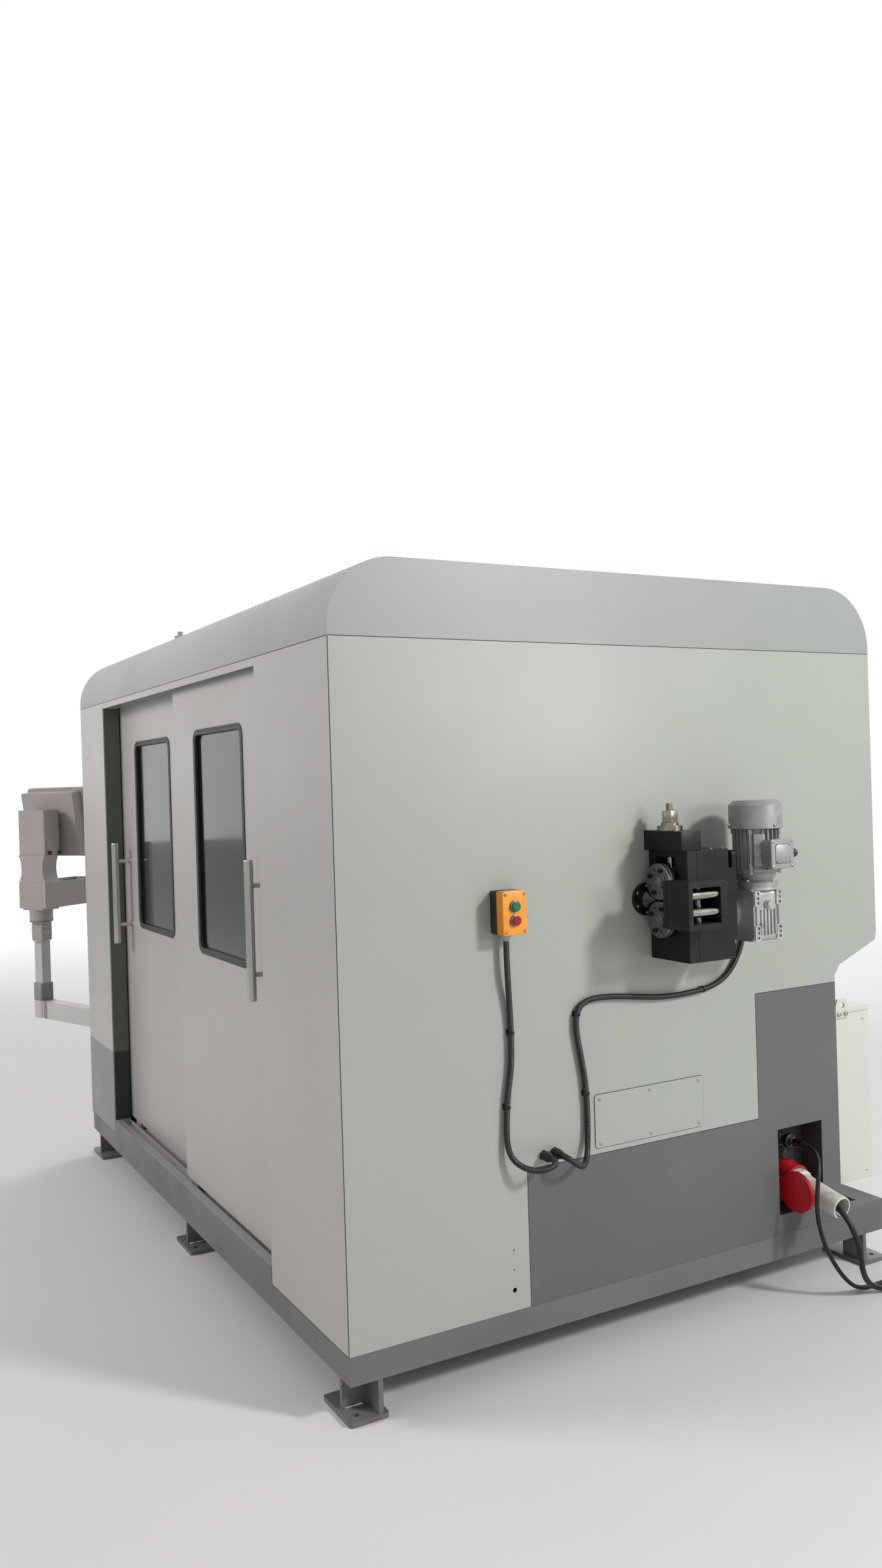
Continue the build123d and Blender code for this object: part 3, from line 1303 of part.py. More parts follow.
socket_lid.part.label = "socket_lid"
export_step(socket_lid.part, "parts/socket_lid.step")

# Plug: nose in the socket, collar, and a hollow sleeve that the cable leaves
axis_line = Axis(mouth, out)
plug_side = Plane(origin=mouth, x_dir=out, z_dir=(0, -1, 0))
with BuildPart() as power_plug:
    with BuildSketch(plug_side):
        with BuildLine():
            Polyline((-socket_depth, 0), (-socket_depth, plug_radius - 3),
                     (-6, plug_radius - 3), (-6, plug_radius), (14, plug_radius),
                     (20, 34), (24, 33), (140, 29.5), (140, 31), (156, 31), (160, 30),
                     (160, 26.5), (62, 26.5), (62, 0), close=True)
        make_face()
    revolve(axis=axis_line)
power_plug.part.label = "power_plug"
export_step(power_plug.part, "parts/power_plug.step")

# Transformer case: a closed case on the rear rail, with a bolted lifting lug
with BuildPart() as transformer_case:
    with BuildSketch(Plane.XY.offset(rail_top)):
        with Locations((case_x + case_length / 2, step_y + 3 + case_depth / 2)):
            Rectangle(case_length, case_depth)
    extrude(amount=case_top - rail_top - 14)
    with BuildSketch(Plane.XY.offset(case_top - 14)):
        with Locations((case_x + case_length / 2, step_y + 3 + case_depth / 2)):
            Rectangle(case_length + 3, case_depth)
    extrude(amount=14)
    chamfer(transformer_case.faces().sort_by(Axis.Z)[-1].edges(), 1.5)
    with BuildSketch(Plane.YZ.offset(case_x + case_length + 1.5)):
        with BuildLine():
            Polyline((850, 690), (850, 722), (862, 748), (898, 748), (910, 722), (910, 690),
                     close=True)
        make_face()
        with Locations((880, 728)):
            Circle(10, mode=Mode.SUBTRACT)
    extrude(amount=6)
transformer_case.part.label = "transformer_case"
export_step(transformer_case.part, "parts/transformer_case.step")

# Arm bracket: wall flange with two ears and the pivot pin
pivot_x = -half_length - pivot_reach
ear_gap = arm_height / 2 + seat_gap
arm_mid = arm_z + arm_height / 2
with BuildPart() as arm_bracket:
    with BuildSketch(Plane.YZ.offset(-half_length - 8)):
        with Locations((pivot_y, arm_mid)):
            RectangleRounded(92, 150, 8)
    extrude(amount=8)
    for ear_z in (arm_mid - ear_gap - 14, arm_mid + ear_gap):
        with BuildSketch(Plane.XY.offset(ear_z)):
            with BuildLine():
                Polyline((-half_length - 8, pivot_y - 28), (-half_length - 8, pivot_y + 28),
                         (pivot_x, pivot_y + 28), (pivot_x, pivot_y - 28), close=True)
            make_face()
            with Locations((pivot_x, pivot_y)):
                Circle(28)
        extrude(amount=14)
    with BuildSketch(Plane.XY.offset(arm_mid - ear_gap - 14)):
        with Locations((pivot_x, pivot_y)):
            Circle(pivot_radius)
    extrude(amount=2 * ear_gap + 28)
arm_bracket.part.label = "arm_bracket"
export_step(arm_bracket.part, "parts/arm_bracket.step")

# Pendant arm: pivot sleeve, level tube, elbow and upright mast, welded in one
arm_run = hypot(mast_x - pivot_x, mast_y - pivot_y)
arm_dir = ((mast_x - pivot_x) / arm_run, (mast_y - pivot_y) / arm_run, 0)
arm_plane = Plane(origin=(pivot_x, pivot_y, arm_z), x_dir=arm_dir, z_dir=(0, 0, 1))
with BuildPart() as pendant_arm:
    with BuildSketch(arm_plane):
        Circle(arm_width / 2)
        with Locations((arm_run / 2, 0)):
            Rectangle(arm_run, arm_width)
        with Locations((arm_run, 0)):
            RectangleRounded(72, 66, 20)
    extrude(amount=arm_height)
    with BuildSketch(arm_plane.offset(arm_height)):
        with Locations((arm_run, 0)):
            RectangleRounded(64, 60, 6)
    extrude(amount=76)
    with BuildSketch(arm_plane.offset(arm_height + 76)):
        with Locations((arm_run, 0)):
            RectangleRounded(60, 45, 5)
    extrude(amount=mast_top - arm_z - arm_height - 76)
    with BuildSketch(arm_plane.offset(mast_top - arm_z)):
        with Locations((arm_run, 0)):
            Circle(40)
    extrude(amount=6)
    with BuildSketch(arm_plane):
        Circle(pivot_radius + running_gap)
    extrude(amount=arm_height, mode=Mode.SUBTRACT)
pendant_arm.part.label = "pendant_arm"
export_step(pendant_arm.part, "parts/pendant_arm.step")

# Pendant box: swivel coupling, control box with its tray, neck and rear box
head = Plane(origin=(mast_x, mast_y, 0),
             x_dir=(cos(radians(head_turn)), sin(radians(head_turn)), 0), z_dir=(0, 0, 1))
coupling_z = mast_top + 6 + seat_gap
tilt_y = 62.0
tilt_z = 1283.0
estop_side = Plane(origin=head.from_local_coords(Vector(0, console_front, estop_z)),
                   x_dir=head.x_dir, z_dir=head.y_dir)
estop_travel = 4.0
estop_collar = 5.0
estop_well = 10.0
estop_stem = 11.0
with BuildPart() as pendant_box:
    # Sleeve, swivel drum and top plate
    with BuildSketch(head.offset(coupling_z)):
        RectangleRounded(sleeve_width, sleeve_width, 5)
    extrude(amount=sleeve_top - coupling_z)
    with BuildSketch(head.offset(sleeve_top)):
        Circle(drum_radius)
    extrude(amount=console_low - 8 - sleeve_top)
    with BuildSketch(head.offset(console_low - 8)):
        RectangleRounded(120, console_rear * 2, 6)
    extrude(amount=8)
    # Console, as deep as a tray, with its top sunk in front of the neck
    with BuildSketch(head.offset(console_low)):
        with Locations((0, (console_front - console_rear) / 2)):
            RectangleRounded(console_width, console_front + console_rear, 6)
    extrude(amount=console_high - console_low)
    with BuildSketch(head.offset(console_high - tray_sink)):
        with Locations((0, (tray_rear + console_front - 10) / 2)):
            RectangleRounded(console_width - 16, console_front - 10 - tray_rear, 5)
    extrude(amount=tray_sink, mode=Mode.SUBTRACT)
    # Waisted neck up to the rear box
    neck_front = Plane(origin=head.from_local_coords(Vector(0, -console_rear + 2, 0)),
                       x_dir=head.x_dir, z_dir=-head.y_dir)
    half_neck = rear_box_width / 2
    with BuildSketch(neck_front):
        with BuildLine():
            Line((-half_neck, console_high), (half_neck, console_high))
            ThreePointArc((half_neck, console_high),
                          (half_neck - neck_waist, (console_high + rear_box_low) / 2),
                          (half_neck, rear_box_low))
            Line((half_neck, rear_box_low), (-half_neck, rear_box_low))
            ThreePointArc((-half_neck, rear_box_low),
                          (neck_waist - half_neck, (console_high + rear_box_low) / 2),
                          (-half_neck, console_high))
        make_face()
    extrude(amount=-neck_depth)
    with BuildSketch(head.offset(rear_box_low)):
        RectangleRounded(rear_box_width, rear_box_depth, 6)
    extrude(amount=rear_box_high - rear_box_low)
    # Tilt knuckle in front of the rear box
    knuckle_side = Plane(origin=head.from_local_coords(Vector(-28, tilt_y, tilt_z)),
                         x_dir=head.y_dir, z_dir=head.x_dir)
    with BuildSketch(knuckle_side):
        Circle(11)
        with Locations((-10, 0)):
            Rectangle(20, 22)
        Circle(4 + running_gap, mode=Mode.SUBTRACT)
    extrude(amount=56)
    # Guard ring and well for the emergency stop
    with BuildSketch(estop_side):
        Circle(22)
    extrude(amount=estop_collar)
    with BuildSketch(estop_side.offset(-estop_well)):
        Circle(estop_stem + seat_gap)
    extrude(amount=estop_well + estop_collar, mode=Mode.SUBTRACT)
pendant_box.part.label = "pendant_box"
export_step(pendant_box.part, "parts/pendant_box.step")

# Display: a deep tilted housing with its screen recessed on the operator's side
lean_back = radians(tilt)
tilt_mid = head.from_local_coords(Vector(0, tilt_y, tilt_z))
screen_dir = head.y_dir * cos(lean_back) + head.z_dir * sin(lean_back)
display_plane = Plane(origin=tilt_mid, x_dir=head.x_dir, z_dir=screen_dir)
display_back = 15.0
display_thick = 78.0
with BuildPart() as display_unit:
    with BuildSketch(display_plane.offset(display_back)):
        with Locations((0, -30)):
            RectangleRounded(300, 286, 10)
    extrude(amount=display_thick - 24)
    with BuildSketch(display_plane.offset(display_back + display_thick - 24)):
        with Locations((0, -30)):
            RectangleRounded(325, 312, 12)
    extrude(amount=24)
    with BuildSketch(display_plane.offset(display_back + display_thick - 3)):
        with Locations((0, -22)):
            Rectangle(270, 210)
    extrude(amount=3, mode=Mode.SUBTRACT)
    # Hinge lugs and pin each side of the knuckle
    for lug_x in (-48, 28.3):
        lug_side = Plane(origin=head.from_local_coords(Vector(lug_x, tilt_y, tilt_z)),
                         x_dir=head.y_dir, z_dir=head.x_dir)
        with BuildSketch(lug_side):
            Circle(11)
            with Locations((8, 0)):
                Rectangle(20, 22)
        extrude(amount=19.7)
    pin_side = Plane(origin=head.from_local_coords(Vector(-40, tilt_y, tilt_z)),
                     x_dir=head.y_dir, z_dir=head.x_dir)
    with BuildSketch(pin_side):
        Circle(4)
    extrude(amount=80)
display_unit.part.label = "display_unit"
export_step(display_unit.part, "parts/display_unit.step")

# Emergency stop on the control box's operator side, above the tray
with BuildPart() as estop_button:
    with BuildSketch(estop_side.offset(estop_travel + 0.5 - estop_well)):
        Circle(estop_stem)
    extrude(amount=estop_well + estop_collar)
    with BuildSketch(estop_side.offset(estop_collar + estop_travel + 0.5)):
        Circle(20)
    extrude(amount=12)
    fillet(estop_button.edges().sort_by(Axis(estop_side.origin, estop_side.z_dir))[-1], 3)
estop_button.part.label = "estop_button"
export_step(estop_button.part, "parts/estop_button.step")

# Control cable: hangs from the connector to the floor and runs off to its coil
control_radius = 6.0
control_coil_mid = (1420.0, 900.0)
control_coil_radius = 66.0
control_route = [(1240, 552, 392), (1264, 552, 392), (1290, 544, 388), (1312, 532, 376),
                 (1328, 517, 357), (1336, 505, 333), (1340, 496, 300), (1342, 490, 256),
                 (1346, 492, 214),
                 (1353, 499, 171), (1361, 514, 128), (1365, 539, 86), (1364, 572, 49),
                 (1361, 610, 20), (1357, 660, 7), (1355, 710, 6.5), (1354, 760, 6.3),
                 (1354, 810, 6.3)]
power_radius = 8.0
power_coil_mid = (1660.0, 840.0)
power_coil_radius = 88.0
power_start = mouth + out * 62
power_route = [tuple(power_start), tuple(power_start + out * 46),
               (1364, 547, 253), (1398, 549, 230), (1417, 554, 192), (1422, 563, 150),
               (1412, 579, 103), (1400, 603, 62), (1391, 638, 28), (1392, 685, 10),
               (1413, 727, 8.6), (1455, 748, 8.5), (1502, 752, 8.3), (1550, 752, 8.3)]
for name, route, radius in (("control_cable", control_route, control_radius),
                            ("power_cable", power_route, power_radius)):
    pts, radii = path_of(route)
    print(name, "arcs", [round(r) for r in radii])
    with BuildPart() as cable:
        with BuildLine():
            path = FilletPolyline(*pts, radius=radii)
        with BuildSketch(Plane(origin=path @ 0, z_dir=path % 0)):
            Circle(radius)
        sweep(path=path)
    print(name, "length", round(path.length), "volume over section times length",
          round(cable.part.volume / (pi * radius ** 2 * path.length), 4))
    cable.part.label = name
    export_step(cable.part, f"parts/{name}.step")

# Coils: the outer shape of the put-away length, with a stub where the cable comes and goes
with BuildPart() as control_coil:
    with BuildSketch():
        with Locations(control_coil_mid):
            Circle(control_coil_radius + 18)
            Circle(control_coil_radius - 18, mode=Mode.SUBTRACT)
    extrude(amount=24)
    with BuildSketch(Plane.XZ.offset(-control_coil_mid[1])):
        with Locations((control_coil_mid[0] - control_coil_radius, control_radius + seat_gap)):
            Circle(control_radius)
    extrude(amount=90)
    with BuildSketch(Plane.YZ.offset(control_coil_mid[0])):
        with Locations((control_coil_mid[1] + control_coil_radius, 12)):
            Circle(control_radius)
    extrude(amount=92)
control_coil.part.label = "control_coil"
export_step(control_coil.part, "parts/control_coil.step")

with BuildPart() as control_end:
    with BuildSketch(Plane.XZ.offset(-control_coil_mid[1] - control_coil_radius)):
        with BuildLine():
            Polyline((control_coil_mid[0] + 92, 12), (control_coil_mid[0] + 92, 21),
                     (control_coil_mid[0] + 110, 22), (control_coil_mid[0] + 112, 24),
                     (control_coil_mid[0] + 140, 24), (control_coil_mid[0] + 140, 12),
                     close=True)
        make_face()
    revolve(axis=Axis((0, control_coil_mid[1] + control_coil_radius, 12), (1, 0, 0)))
control_end.part.label = "control_end"
export_step(control_end.part, "parts/control_end.step")

with BuildPart() as power_coil:
    with BuildSketch():
        with Locations(power_coil_mid):
            Circle(power_coil_radius + 16)
            Circle(power_coil_radius - 16, mode=Mode.SUBTRACT)
    extrude(amount=32)
    with BuildSketch(Plane.YZ.offset(power_coil_mid[0] - 110)):
        with Locations((power_coil_mid[1] - power_coil_radius, power_radius + seat_gap)):
            Circle(power_radius)
    extrude(amount=110)
    with BuildSketch(Plane.XZ.offset(-power_coil_mid[1] - 112)):
        with Locations((power_coil_mid[0] + power_coil_radius, 22)):
            Circle(power_radius)
    extrude(amount=112)
power_coil.part.label = "power_coil"
export_step(power_coil.part, "parts/power_coil.step")

with BuildPart() as power_end:
    with BuildSketch(Plane.YZ.offset(power_coil_mid[0] + power_coil_radius)):
        with BuildLine():
            Polyline((power_coil_mid[1] + 112, 22), (power_coil_mid[1] + 112, 34),
                     (power_coil_mid[1] + 130, 42), (power_coil_mid[1] + 175, 44),
                     (power_coil_mid[1] + 200, 44), (power_coil_mid[1] + 200, 22), close=True)
        make_face()
    revolve(axis=Axis((power_coil_mid[0] + power_coil_radius, 0, 22), (0, 1, 0)))
power_end.part.label = "power_end"
export_step(power_end.part, "parts/power_end.step")
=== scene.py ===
from math import cos, radians, sin

import bpy
from mathutils import Matrix, Vector


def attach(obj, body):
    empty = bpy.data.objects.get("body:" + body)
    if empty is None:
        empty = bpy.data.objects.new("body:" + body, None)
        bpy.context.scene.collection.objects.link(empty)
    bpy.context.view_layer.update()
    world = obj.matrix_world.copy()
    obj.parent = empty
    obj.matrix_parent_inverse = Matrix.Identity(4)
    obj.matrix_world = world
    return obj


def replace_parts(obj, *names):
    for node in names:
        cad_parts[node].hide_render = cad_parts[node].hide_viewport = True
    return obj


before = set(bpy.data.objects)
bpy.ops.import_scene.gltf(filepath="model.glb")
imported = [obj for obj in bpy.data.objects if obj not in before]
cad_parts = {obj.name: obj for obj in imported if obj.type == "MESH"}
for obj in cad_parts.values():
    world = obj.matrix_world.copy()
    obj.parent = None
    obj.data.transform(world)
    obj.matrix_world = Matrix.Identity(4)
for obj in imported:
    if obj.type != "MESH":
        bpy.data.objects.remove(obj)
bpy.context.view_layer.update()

# The photographer stood off the corner where the wire comes in, at eye height, and held
# the camera upright, a touch out of level.
yaw, pitch, roll = radians(60.876), radians(0.078), radians(-1.758)
look = Vector((-sin(yaw) * cos(pitch), cos(yaw) * cos(pitch), -sin(pitch)))
level = Vector((cos(yaw), sin(yaw), 0))
above = level.cross(look)
across = level * cos(roll) + above * sin(roll)
upward = above * cos(roll) - level * sin(roll)
lens = bpy.data.cameras.new("photo_camera")
lens.sensor_fit = "VERTICAL"
lens.sensor_height = 36
lens.lens = 27.48
lens.clip_end = 80
camera = bpy.data.objects.new("photo_camera", lens)
stand = (3.7117, -1.9630, 1.45)
turn = Matrix((across, upward, -look)).transposed()
camera.matrix_world = Matrix.Translation(stand) @ turn.to_4x4()
bpy.context.collection.objects.link(camera)
bpy.context.scene.camera = camera


# Two free cables leave the supply recess: a slim control cable and a thicker power cable.
# Both are black rubber, hang to the floor and run off behind the machine, where the spare
# length lies in a tied coil.
def shade(red, green, blue):
    """A colour as the eye reads it, 0 to 255, made linear."""
    parts = [min(max(v, 0), 255) / 255 for v in (red, green, blue)]
    return tuple(v / 12.92 if v < 0.04 else ((v + 0.055) / 1.055) ** 2.4 for v in parts) + (1,)


grain_height, wave_height = 0.0004, 0.004


def coat(name, colour, roughness, metallic=0.0, drift=0.05, patch=14, uneven=0.06,
         grain=0.2, pitch=900, stretch=(1, 1, 1), wave=0.0, stain=None, shine=0.5):
    """A finish: its tone drifts in patches, its gloss is uneven and a fine grain stands on it.
    wave is how much a thin sheet ripples, and stain is a second tone, its share and size."""
    material = bpy.data.materials.new(name)
    material.use_nodes = True
    nodes, links = material.node_tree.nodes, material.node_tree.links
    skin = nodes["Principled BSDF"]
    skin.inputs["Metallic"].default_value = metallic
    skin.inputs["Specular IOR Level"].default_value = shine
    where = nodes.new("ShaderNodeTexCoord")
    lay = nodes.new("ShaderNodeMapping")
    lay.inputs["Scale"].default_value = stretch
    links.new(where.outputs["Object"], lay.inputs["Vector"])

    def noise(scale, detail):
        """A noise in the piece's own place, stretched as the finish asks."""
        made = nodes.new("ShaderNodeTexNoise")
        made.inputs["Scale"].default_value = scale
        made.inputs["Detail"].default_value = detail
        links.new(lay.outputs["Vector"], made.inputs["Vector"])
        return made

    def ranged(scale, detail, ends):
        """A noise, its values from one low and high to another low and high."""
        made = nodes.new("ShaderNodeMapRange")
        for field, value in zip(("From Min", "From Max", "To Min", "To Max"), ends):
            made.inputs[field].default_value = value
        links.new(noise(scale, detail).outputs["Fac"], made.inputs["Value"])
        return made.outputs["Result"]

    def bump(strength, height, scale, detail):
        """Relief of a noise, its height in metres."""
        made = nodes.new("ShaderNodeBump")
        made.inputs["Strength"].default_value = strength
        made.inputs["Distance"].default_value = height
        links.new(noise(scale, detail).outputs["Fac"], made.inputs["Height"])
        return made

    cloud = noise(patch, 6)
    tones = nodes.new("ShaderNodeValToRGB")
    low, high = tones.color_ramp.elements
    low.position, high.position = 0.32, 0.68
    low.color = shade(*[v * (1 - drift) for v in colour])
    high.color = shade(*[v * (1 + drift) for v in colour])
    links.new(cloud.outputs["Fac"], tones.inputs["Fac"])
    tone = tones.outputs["Color"]
    gloss = ranged(patch * 3.1, 8, (0.3, 0.7, roughness - uneven, roughness + uneven))
    links.new(gloss, skin.inputs["Roughness"])
    if stain:
        second, share, size = stain
        spread = ranged(size, 9, (0.72 - share * 0.4, 0.86 - share * 0.4, 0.0, 0.85))
        # Inputs 0, 6 and 7 of a colour mix are its share and its two colours.
        blend = nodes.new("ShaderNodeMix")
        blend.data_type = "RGBA"
        links.new(spread, blend.inputs[0])
        links.new(tone, blend.inputs[6])
        blend.inputs[7].default_value = shade(*second)
        tone = blend.outputs[2]
    links.new(tone, skin.inputs["Base Color"])
    rise = bump(grain, grain_height, pitch, 3)
    if wave:
        ripple = bump(wave, wave_height, 2.2, 1)
        links.new(ripple.outputs["Normal"], rise.inputs["Normal"])
    links.new(rise.outputs["Normal"], skin.inputs["Normal"])
    return material


def dress(material, *nodes):
    """Gives solid pieces their finish."""
    for node in nodes:
        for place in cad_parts[node].material_slots:
            place.material = material


def take(*pieces):
    """Selects these pieces and no others, the first one as the active piece."""
    bpy.ops.object.select_all(action="DESELECT")
    for piece in pieces:
        piece.select_set(True)
    if pieces:
        bpy.context.view_layer.objects.active = pieces[0]


def open_mesh():
    """Opens the active piece's mesh with all of it selected."""
    bpy.ops.object.mode_set(mode="EDIT")
    bpy.ops.mesh.select_all(action="SELECT")


def close_mesh():
    """Turns all faces of the open mesh outward and closes it."""
    bpy.ops.mesh.select_all(action="SELECT")
    bpy.ops.mesh.normals_make_consistent(inside=False)
    bpy.ops.object.mode_set(mode="OBJECT")


def settle(name, material, body, piece=None, angle=35):
    """Names a finished piece, gives it its finish, and lets it ride on its body."""
    piece = piece or bpy.context.object
    take(piece)
    bpy.ops.object.transform_apply()
    bpy.ops.object.shade_smooth_by_angle(angle=radians(angle))
    piece.name = piece.data.name = name
    piece.data.materials.clear()
    piece.data.materials.append(material)
    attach(piece, body)
    return piece


def fasten(name, material, piece=None, angle=35):
    """Settles a piece on the machine itself."""
    return settle(name, material, "machine", piece, angle)


def turned(start, along, rings, sides=40, ends="NGON"):
    """A turned piece: a disc at start, in millimetres, drawn out along its axis, with its
    radius changed ring by ring. A ring that steps back makes a recess."""
    take()
    axis = Vector(along).normalized()
    foot = Vector(start) / 1000
    far, radius = rings[0]
    bpy.ops.mesh.primitive_circle_add(
        vertices=sides, radius=radius / 1000, fill_type=ends,
        location=foot + axis * far / 1000, rotation=axis.to_track_quat("Z", "Y").to_euler())
    bpy.ops.object.transform_apply()
    open_mesh()
    for reach, wide in rings[1:]:
        bpy.ops.mesh.extrude_region_move(
            TRANSFORM_OT_translate={"value": axis * (reach - far) / 1000})
        if wide != radius:
            k = wide / radius
            bpy.ops.transform.resize(value=(k, k, k), center_override=foot + axis * reach / 1000)
        far, radius = reach, wide
    close_mesh()
    return bpy.context.object


def ribbed(piece, along, proud, every=2):
    """Raises every second facet round a turned piece, or every third, as ribs or a knurl."""
    axis = Vector(along).normalized()
    take(piece)
    bpy.ops.object.mode_set(mode="EDIT")
    bpy.ops.mesh.select_mode(type="FACE")
    bpy.ops.mesh.select_all(action="DESELECT")
    bpy.ops.object.mode_set(mode="OBJECT")
    spread = max(face.area for face in piece.data.polygons
                 if abs(face.normal.dot(axis)) < 0.1 and len(face.vertices) == 4)
    sides = [face for face in piece.data.polygons if abs(face.normal.dot(axis)) < 0.1
             and len(face.vertices) == 4 and face.area > spread * 0.9]
    for count, face in enumerate(sides):
        face.select = count % every == 0
    bpy.ops.object.mode_set(mode="EDIT")
    bpy.ops.mesh.inset(thickness=proud / 2500, depth=proud / 1000, use_individual=True)
    bpy.ops.mesh.select_mode(type="VERT")
    bpy.ops.object.mode_set(mode="OBJECT")
    return piece


def joined(pieces):
    """Several meshes made one."""
    take(*pieces)
    bpy.ops.object.join()
    return bpy.context.object


def cable_line(name, points, radius, material):
    """A smooth cable with the route's points as its control points, in millimetres."""
    curve = bpy.data.curves.new(name, "CURVE")
    curve.dimensions = "3D"
    line = curve.splines.new("NURBS")
    line.points.add(len(points) - 1)
    for knot, (x, y, z) in zip(line.points, points):
        knot.co = (x / 1000, y / 1000, z / 1000, 1)
    line.order_u = 3
    line.use_endpoint_u = True
    line.resolution_u = 6
    curve.bevel_depth = radius / 1000
    curve.bevel_resolution = 4
    curve.use_fill_caps = True
    curve.materials.append(material)
    cable = bpy.data.objects.new(name, curve)
    bpy.context.collection.objects.link(cable)
    return cable


corner_cut = 1.0195


def wound(middle, start, way, stations, steps=16):
    """A coil's points: each station says how many turns round, how far out and how high.
    They lie a little outside the turns, because the spline cuts their corners."""
    points = []
    for (t0, r0, z0), (t1, r1, z1) in zip(stations, stations[1:]):
        count = max(1, round((t1 - t0) * steps))
        for k in range(count):
            share = k / count
            angle = radians(start + way * 360 * (t0 + (t1 - t0) * share))
            reach = (r0 + (r1 - r0) * share) * corner_cut
            points.append((middle[0] + reach * cos(angle), middle[1] + reach * sin(angle),
                           z0 + (z1 - z0) * share))
    return points


cable_rubber = coat("cable_rubber", (21, 21, 22), 0.42, drift=0.12, uneven=0.1, grain=0.25,
                    pitch=600, stain=((54, 53, 50), 0.25, 9), shine=0.35)
dress(cable_rubber, "control_cable", "control_coil", "power_cable", "power_coil")

control_points = [
    (1240, 552, 392), (1264, 552, 392), (1290, 544, 388), (1312, 532, 376), (1328, 517, 357),
    (1336, 505, 333), (1340, 496, 300), (1342, 490, 256), (1346, 492, 214), (1353, 499, 171),
    (1361, 514, 128), (1365, 539, 86), (1364, 572, 49), (1361, 610, 20), (1357, 660, 7),
    (1355, 710, 6.5), (1354, 760, 6.3), (1354, 810, 6.3), (1354, 848, 6.3), (1354, 880, 6.3)]
control_middle, power_middle = (1420, 900), (1660, 840)
control_points += wound(control_middle, 180, -1, [
    (0, 66, 6.3), (0.5, 66, 6.3), (0.85, 78, 6.3), (1.55, 78, 6.3), (1.72, 66, 18),
    (1.9, 54, 6.3), (2.6, 54, 6.3), (2.85, 60, 18), (3.6, 60, 18), (3.9, 72, 18),
    (4.85, 72, 18), (5.25, 66, 12)])
control_points += [(1420, 967, 12), (1450, 966, 12), (1490, 966, 12), (1520, 966, 12)]
control_lead = cable_line("control_lead", control_points, 6, cable_rubber)
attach(control_lead, "machine")
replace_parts(control_lead, "control_cable", "control_coil")

power_points = [
    (1281.06, 548, 273.23), (1326.36, 548, 265.25), (1364, 547, 253), (1398, 549, 230),
    (1417, 554, 192), (1422, 563, 150), (1412, 579, 103), (1400, 603, 62), (1391, 638, 28),
    (1392, 685, 10), (1413, 727, 8.6), (1455, 748, 8.5), (1502, 752, 8.3), (1550, 752, 8.3),
    (1595, 752, 8.3), (1635, 752, 8.3)]
power_points += wound(power_middle, -90, 1, [
    (0, 88, 8.3), (0.3, 96, 8.3), (1.0, 96, 8.3), (1.12, 90, 22), (1.3, 80, 8.3),
    (2.0, 80, 8.3), (2.3, 80, 24), (3.0, 80, 24), (3.3, 96, 24), (4.0, 96, 24),
    (4.25, 88, 22)])
power_points += [(1749, 842, 22), (1748, 880, 22), (1748, 920, 22), (1748, 960, 22)]
power_lead = cable_line("power_lead", power_points, 8, cable_rubber)
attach(power_lead, "machine")
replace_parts(power_lead, "power_cable", "power_coil")

# Reliefs: moulded rubber sleeves where the cables leave their fittings, both with ribs. The
# plug's white collar has moulded grips all round.
plug_way = (0.9848, 0, -0.1736)
control_relief = fasten("control_relief", cable_rubber, turned(
    (1237, 552, 392), (1, 0, 0),
    [(0, 9.8), (4, 9.8), (4, 8.4), (6, 8.4), (6, 9.4), (9, 9.2), (9, 8), (11, 8), (11, 8.8),
     (14, 8.6), (14, 7.6), (16, 7.6), (16, 8.2), (19, 8), (19, 7.2), (28, 6.4)]))
power_relief = fasten("power_relief", cable_rubber, turned(
    (1281.06, 548, 273.23), plug_way,
    [(0.5, 22), (6, 22), (8, 15), (14, 15), (14, 13), (17, 13), (17, 14), (22, 13.4),
     (22, 12), (25, 12), (25, 12.8), (42, 8.8)]))

plug_white = coat("plug_white", (208, 206, 194), 0.42, drift=0.04, patch=22, uneven=0.08,
                  pitch=500, stain=((168, 160, 140), 0.45, 24))
dress(plug_white, "power_plug", "power_end")
plug_grip = fasten("plug_grip", plug_white, ribbed(turned(
    (1221.5, 548, 283.7), plug_way, [(0, 37), (0.6, 38.3), (11.4, 38.3), (12, 37)], 36),
    plug_way, 1.6))


# Ties: a black strap of moulded rubber goes round each coil at two places, closed on itself,
# and holds its turns together.
def coil_tie(name, middle, reach, angle, tall, wide, high):
    """A strap round a coil's turns, that far out from its middle and that high."""
    take()
    spot = Vector((middle[0] + reach * cos(radians(angle)),
                   middle[1] + reach * sin(radians(angle)), high)) / 1000
    bpy.ops.mesh.primitive_torus_add(major_radius=0.5, minor_radius=0.03, major_segments=40,
                                     minor_segments=8, location=spot,
                                     rotation=(radians(90), 0, radians(angle)))
    bpy.context.object.scale = (wide / 1000, tall / 1000, 0.06)
    return fasten(name, cable_rubber)


control_ties = [coil_tie(f"control_tie_{count}", control_middle, 66, angle, 25, 38, 13.3)
                for count, angle in ((1, 20), (2, 230))]
power_ties = [coil_tie(f"power_tie_{count}", power_middle, 88, angle, 33, 36, 17.6)
              for count, angle in ((1, 100), (2, 215))]


# Base frame and feet: a ring of welded steel rails with its oil pan, on six feet of 12 mm
# plate. Frame and feet are sprayed one grey, and each foot shows the bright bead of a weld
# that was made after the paint.
base_paint = coat("base_paint", (101, 101, 101), 0.46, patch=2.4, uneven=0.1, grain=0.22,
                  pitch=420, stain=((88, 85, 78), 0.3, 6))
dress(base_paint, "base_frame", "anchor_feet")
weld_steel = coat("weld_steel", (182, 180, 174), 0.34, metallic=0.9, drift=0.2, patch=90,
                  uneven=0.15, grain=0.6)


